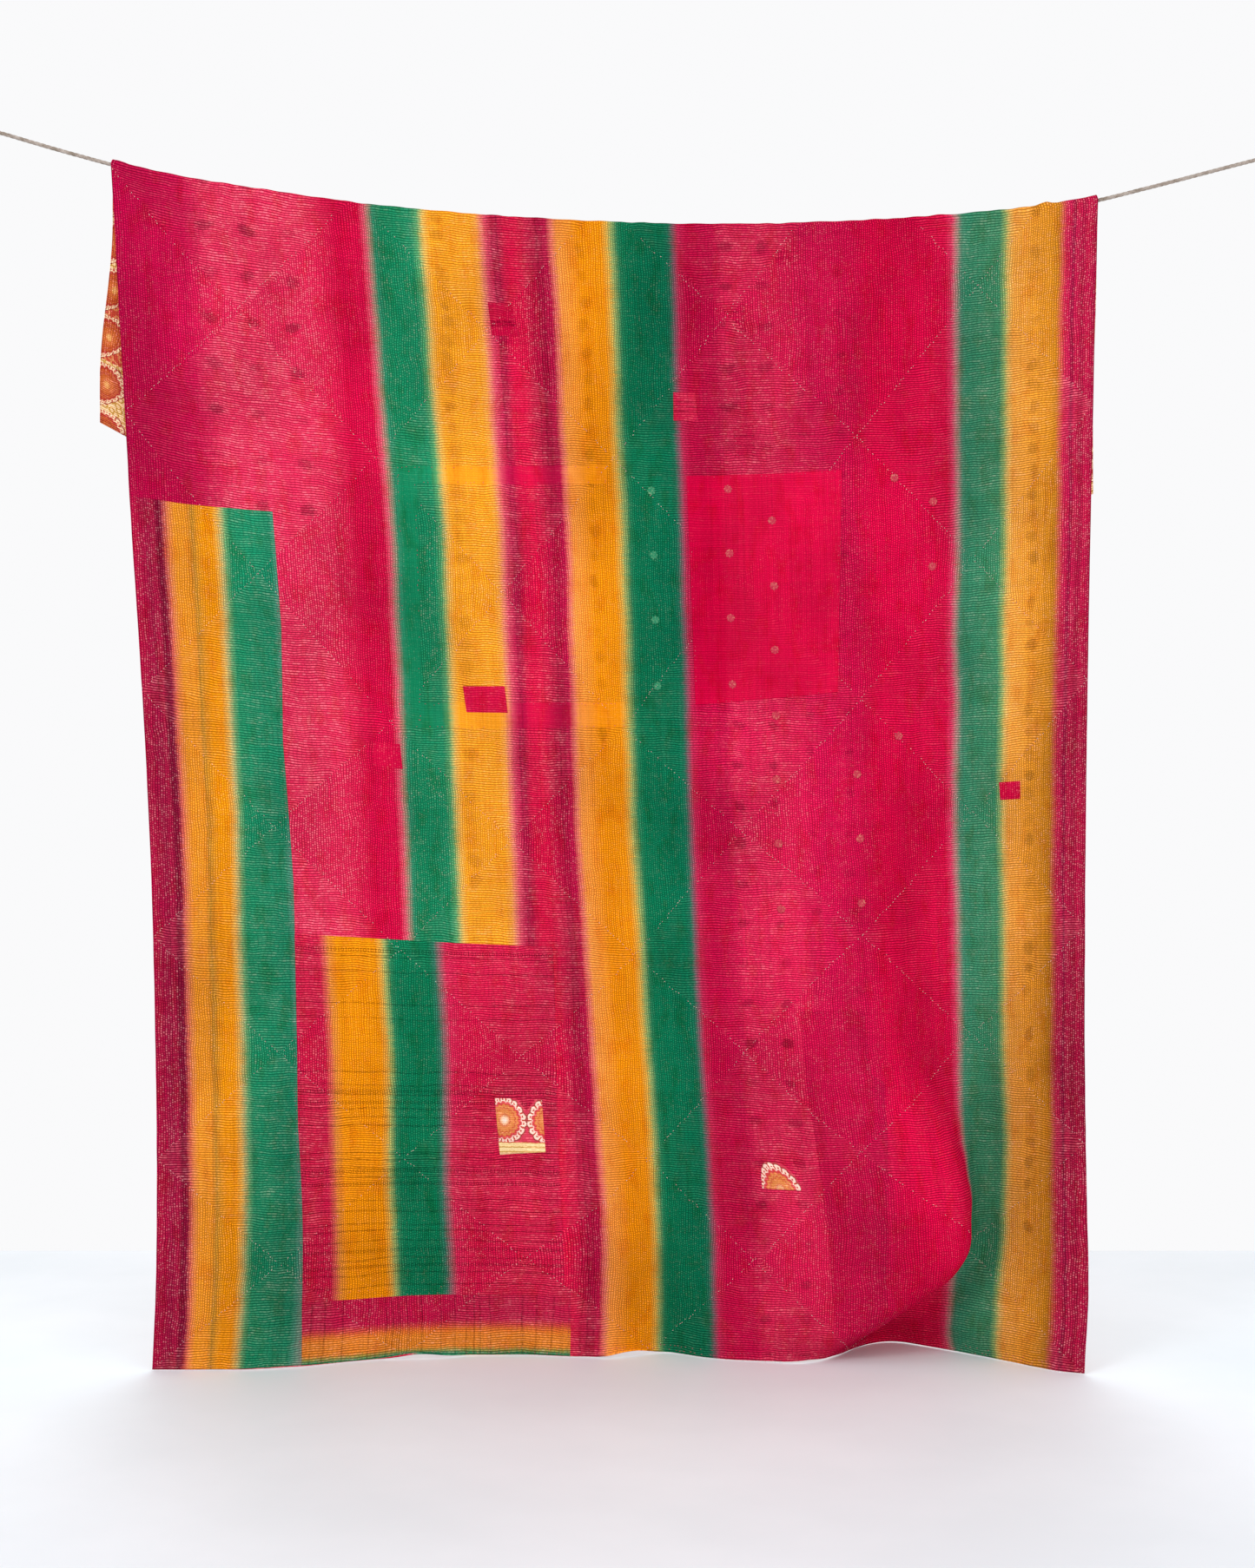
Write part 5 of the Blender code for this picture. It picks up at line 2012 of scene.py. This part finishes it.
def patches() -> list[SewnPatch]:
    """Lists the pieces of cloth sewn on to the front, the lower ones first.

    Returns:
        The patches.
    """
    strip = DippedCotton(
        "dip_dyed_cotton_left_strip",
        (
            (0, "#ac0e3c"), (14, "#a60e3c"), (22, "#9c0f3c"), (34, "#a8123e"), (40, "#7c0a2e"),
            (47, "#8a1034"), (52, "#cf5a4e"), (58, "#e28044"), (66, "#e88e26"), (86, "#e58c24"),
            (93, "#c4862c"), (99, "#da8c22"), (108, "#e88c0c"), (124, "#e78c10"), (131, "#dca048"),
            (137, "#b0a468"), (143, "#5f9462"), (150, "#1c8058"), (160, "#148059"), (212, "#147957"),
            (219, "#3d8068"), (240, "#8a8078"),
        ),
        thread=((0, 0.42), (50, 0.40), (60, 0.16), (130, 0.14), (150, 0.20), (220, 0.24)),
        # Painted shade in two soft areas of the strip
        painted_shade_areas=((0.10, 1.50, 0.34, 0.75, 0.17), (0.03, 0.80, 0.06, 0.9, 0.10)),
        warp_lines=((14, 0.6, 0.2), (27, 0.7, 0.25), (87, 0.9, 0.16), (92, 0.9, 0.18), (97, 0.8, 0.14)),
    )
    middle = DippedCotton(
        "dip_dyed_cotton_middle_panel",
        (
            (215, "#b81040"), (228, "#c4143f"), (258, "#c21240"), (266, "#d25848"), (273, "#dc8434"),
            (284, "#e4860c"), (344, "#e2860a"), (352, "#d4983c"), (359, "#95a05c"), (367, "#2a7a52"),
            (376, "#0c704c"), (432, "#0a6c48"), (441, "#2f6c58"), (449, "#8a5a60"), (459, "#c4204a"),
            (480, "#c0103e"), (560, "#c0123e"), (640, "#bc1240"),
        ),
        lean=0.021,
        lean_from=1.16,
        thread=(
            (215, 0.34), (265, 0.30), (280, 0.06), (350, 0.06), (370, 0.07), (440, 0.08), (460, 0.28),
            (640, 0.32),
        ),
        weft_lines=tuple(
            (mm, 1.0, depth)
            for mm, depth in (
                (1167, 0.42), (1191, 0.38), (1240, 0.38), (1263, 0.32), (1349, 0.46), (1370, 0.40),
                (1385, 0.44), (1407, 0.44), (1420, 0.36), (1432, 0.46), (1474, 0.38), (1484, 0.44),
                (1497, 0.38), (1511, 0.42), (1550, 0.38), (1567, 0.44), (1588, 0.38), (1598, 0.42),
                (1614, 0.44), (1642, 0.38), (1666, 0.44), (1686, 0.42),
            )
        ),
        ring_rows=((1158, 3.4), (1378, 3.2), (1396, 3.2), (1504, 3.2), (1524, 3.2), (1629, 3.2), (1654, 3.2)),
    )
    foot_lines = (245, 264, 292, 331, 357, 366, 376, 389, 412, 444, 468, 486, 498, 507, 523, 573, 594, 616)
    foot = DippedCotton(
        "dip_dyed_cotton_foot_strip",
        (
            (1690, "#b81040"), (1744, "#b51240"), (1752, "#c43e38"), (1759, "#d86a2a"), (1766, "#dc7c26"),
            (1786, "#d67c26"), (1792, "#8a8238"), (1797, "#2e7a50"), (1800, "#1c7650"),
        ),
        run=Run.DOWN,
        thread=((200, 0.30), (700, 0.30)),
        warp_lines=tuple((mm, 1.1, 0.36) for mm in foot_lines),
    )
    crimson = DippedCotton(
        "dyed_cotton_crimson_panel",
        ((880, "#bb2a50"), (889, "#bc0436"), (940, "#c20436"), (946, "#c60a3a"), (1140, "#c80a3c")),
        thread=((880, 0.02), (940, 0.02), (950, 0.03), (1140, 0.04)),
        stitched=0.35,
    )
    upper, lower, column = (
        DippedCotton("dip_dyed_cotton_" + name, FRONT_DYE, thread=evenly(0.05), stitched=0.2)
        for name in ("upper_band", "lower_band", "column")
    )
    red = ((0, "#c0083a"), (700, "#c40a3c"), (WIDTH_MM, "#c0083a"))
    darned = DippedCotton("dyed_cotton_small_patch", red, thread=evenly(0.15), stitched=0.45)
    barred = DippedCotton(
        "dyed_cotton_barred_patch",
        ((560, "#b80838"), (660, "#bc0a3a")),
        thread=evenly(0.10),
        stitched=0.6,
        weft_lines=((158, 1.8, 0.5), (163, 1.6, 0.45)),
    )
    lined = DippedCotton(
        "dyed_cotton_lined_patch",
        ((860, "#b3103a"), (920, "#b8123e")),
        thread=evenly(0.25),
        stitched=0.8,
        weft_lines=((272, 1.2, 0.4), (279, 1.2, 0.35), (287, 1.2, 0.4)),
    )
    dark = DippedCotton(
        "dyed_cotton_dark_patch",
        ((940, "#b20a3a"), (1080, "#b20a3a")),
        thread=evenly(0.30),
        weft_lines=(
            (38, 1.0, 0.3), (47, 1.0, 0.25), (132, 1.1, 0.3), (146, 1.0, 0.3), (160, 1.1, 0.3),
            (325, 1.1, 0.3), (342, 1.1, 0.3),
        ),
    )
    bright_rings = (
        (0.00, "#e8cdbc"), (0.13, "#dfa678"), (0.18, "#b8422c"), (0.23, "#d98a4c"), (0.40, "#d5823e"),
        (0.45, "#bb4a30"), (0.50, "#d98c50"), (0.57, "#d27a3c"), (0.61, "#c23a38"), (0.70, "#c63e44"),
        (0.74, "#eac6b4"), (0.90, "#eac6b4"), (0.93, "#8e2f2a"), (0.985, "#a83a3a"),
    )
    plain_red = ("#c4304a", "#c4304a")
    # A sewn piece whose darker dye also paints the shade that falls along the creases there
    low_piece = DippedCotton(
        "dyed_cotton_low_piece_painted_shade", ((1030, "#b80c3e"), (1180, "#b00c3e")), thread=((1030, 0.13), (1180, 0.13))
    )
    paisley = PrintedCotton(
        "block_printed_cotton_patch", tile_width=0.068, tile_height=0.078, shift_u=0.029, shift_v=0.0257,
        drop=0.0, bend=0.10, taper=0.15, stitched=0.15, ground=plain_red, sprigs=plain_red, band=1.457,
        rings=bright_rings, vein="#b5482c",
    )
    fan = PrintedCotton(
        "block_printed_cotton_fan", tile_width=0.064, tile_height=0.088, shift_u=0.008, shift_v=0.023,
        drop=0.0, bend=-0.45, taper=0.10, stitched=0.15, ground=plain_red, sprigs=plain_red,
        rings=((0.00, "#d27a3c"),) + bright_rings[1:], vein="#b5482c",
    )
    strip_rows = (
        (497, 2, 220), (674, 2, 223), (846, 2, 216), (1060, 2, 223), (1436, 2, 219), (1702, 2, 229),
        (1799.6, 2, 235),
    )
    low_rows = (
        (1239, 1040, 1140), (1340, 1041, 1143), (1352, 1041, 1164), (1444, 1046, 1157), (1557, 1050, 1144),
        (1669, 1056, 1139), (1740, 1063, 1146),
    )
    fan_rows = (
        (1478, 964, 984), (1482, 959, 994), (1492, 957, 1004), (1502, 956, 1011), (1508, 956, 1014),
        (1520, 956, 1016),
    )
    # Name, outline, finish, thickness, slopes of the top and the bottom edge
    sewn = (
        ("strip_left", strip_rows, strip, 0.0007, -0.036, 0.0),
        ("panel_middle", ((1137, 221, 636), (1434, 220, 628), (1704, 229, 631)), middle, 0.0007, 0.016, 0.0),
        ("strip_foot", ((1688, 229, 639), (1799.6, 235, 641)), foot, 0.0004, 0.0, 0.0),
        ("panel_crimson", ((390, 886, 1131), (753, 891, 1118)), crimson, 0.0005, -0.03, -0.08),
        ("band_upper", ((395, 415, 759), (424, 413, 758)), upper, 0.0003, -0.058, -0.056),
        ("band_lower", ((765, 405, 774), (806, 403, 773)), lower, 0.0003, -0.043, -0.043),
        ("column_green", ((400, 415, 448), (795, 404, 435)), column, 0.0003, 0.0, 0.0),
        ("patch_barred", ((130, 582, 619), (181, 585, 629)), barred, 0.0007, 0.0, 0.0),
        ("patch_lined", ((258, 870, 905), (303, 869, 908)), lined, 0.0007, 0.0, 0.0),
        ("patch_crimson_middle", ((735, 504, 573), (776, 508, 577)), darned, 0.0010, -0.05, -0.03),
        ("patch_crimson_left", ((832, 356, 398), (871, 354, 401)), darned, 0.0007, 0.0, 0.0),
        ("patch_crimson_right", ((887, 1391, 1427), (915, 1393, 1427)), darned, 0.0007, 0.0, 0.0),
        ("patch_dark_top", ((29, 1036, 1072), (58, 1036, 1072)), dark, 0.0004, 0.0, 0.0),
        ("patch_dark_middle", ((119, 954, 986), (172, 956, 987)), dark, 0.0004, 0.0, 0.0),
        ("patch_dark_low", ((310, 963, 995), (359, 965, 996)), dark, 0.0004, 0.0, 0.0),
        ("piece_low", low_rows, low_piece, 0.0004, 0.0, 0.0),
    )
    paisley_rows = ((1387, 533, 607), (1479, 541, 610))
    leaf_tip = (583, 14, 20)
    return [
        *(SewnPatch(name, rows, dye, rise, top, bottom) for name, rows, dye, rise, top, bottom in sewn),
        SewnPatch("patch_paisley", paisley_rows, paisley, 0.0015, 0.0, -0.08, notch=leaf_tip, step=0.003),
        SewnPatch("patch_fan", fan_rows, fan, 0.0010, step=0.003),
    ]


def bare(line: Array, over: list[SewnPatch]) -> list[Array]:
    """Cuts a line where patches cover it.

    Args:
        line: points u and v.
        over: the patches.

    Returns:
        The parts with nothing over them, of two points or more.
    """
    hidden = np.zeros(len(line), bool)
    for patch in over:
        hidden |= patch.covers(*line.T)
    cuts = np.flatnonzero(np.diff(hidden)) + 1
    parts = zip(np.split(line, cuts), np.split(hidden, cuts))
    return [part for part, gone in parts if len(part) > 1 and not gone[0]]


def build_cloth() -> tuple[Piece, list[Piece]]:
    """Makes the cloth, what is sewn on it and its threads.

    Returns:
        The cloth, and the pieces on it.
    """
    drape = Drape()
    surface = ClothSurface(drape)
    blocks = QuiltBlocks()
    cloth = QuiltCloth(surface, blocks).build()
    thread = CottonThread().build()
    sewn = patches()
    on_it = [patch.build(surface, blocks) for patch in sewn]
    seams = [line for patch in sewn for line in patch.seams()]
    smooth = [patch for patch in sewn if patch.finish.stitched < 0.5]
    red_thread = CottonThread("dyed_cotton_thread", "#b83a58", "#d0607a", "#e08a9a").build()
    seam = Stitching("seam_stitches", 0.0068, 0.0024, 0.00035, lift=0.0006, lost=0.70)
    on_it.append(seam.build(surface, seams, red_thread))
    diagonal = Stitching("diagonal_stitches", 0.0060, 0.0024, 0.0004, stray=MM, lift=0.0006, lost=0.35)
    lines = [part for line in blocks.diagonals() for part in bare(line, smooth)]
    on_it.append(diagonal.build(surface, lines, thread))
    hems = []
    for inset in HEM_ROWS:
        low, high = surface.v[0] + inset, drape.front_length - inset
        left, right = inset, drape.width - inset
        hems += [np.array([(left, low), (left, high)]), np.array([(right, low), (right, high)])]
        hems += [np.array([(left, low), (right, low)]), np.array([(left, high), (right, high)])]
    dense = [np.linspace(line[0], line[1], 120) for line in hems]
    hem = Stitching("hem_stitches", 0.0062, 0.0026, 0.0004, lost=0.50)
    on_it.append(hem.build(surface, dense, red_thread))
    on_red = (
        (0.952, 0.410, 4), (1.020, 0.461, 7), (1.148, 0.865, 3), (1.279, 0.437, 2), (1.217, 0.398, 1),
        (1.218, 0.807, 1),
    )
    copper = CottonThread("copper_brocade_thread", "#b02040", "#b83c4a", "#d88a72", 420.0).build()
    silver = CottonThread("silver_brocade_thread", "#1c7854", "#34805c", "#86aa7c", 420.0).build()
    on_it.append(Rosettes("woven_rosettes_red", on_red).build(surface, copper))
    on_it.append(Rosettes("woven_rosettes_green", ((0.829, 0.414, 4),)).build(surface, silver))
    return cloth, on_it


def main() -> None:
    """Builds the camera, the rope, the knots, the screws and the cloth in order."""
    logging.basicConfig(level=logging.INFO, format="%(message)s")
    drape = Drape()
    Studio(drape.floor).build()
    route = RopeRoute()
    jute = TwistedJute().build()
    steel = ZincPlatedSteel().build()
    line = RopeLine(route)
    rope = line.build(jute)
    eyes = route.eyes()
    knots = [RopeKnot(side, bow, way).build(jute) for side, (bow, way) in zip(("left", "right"), eyes)]
    for side, out, (bow, _) in zip(("left", "right"), (1, -1), eyes):
        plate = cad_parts["eye_plate_" + side]
        plate.data.materials.clear()
        plate.data.materials.append(steel)
        low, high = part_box("eye_plate_" + side)
        back_x = low[0] if out > 0 else high[0]
        PlateScrews(side, back_x + out * PLATE_THICKNESS, out, float(bow[2])).build(steel)
    cloth, on_it = build_cloth()
    low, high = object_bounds()


if __name__ == "__main__":
    main()
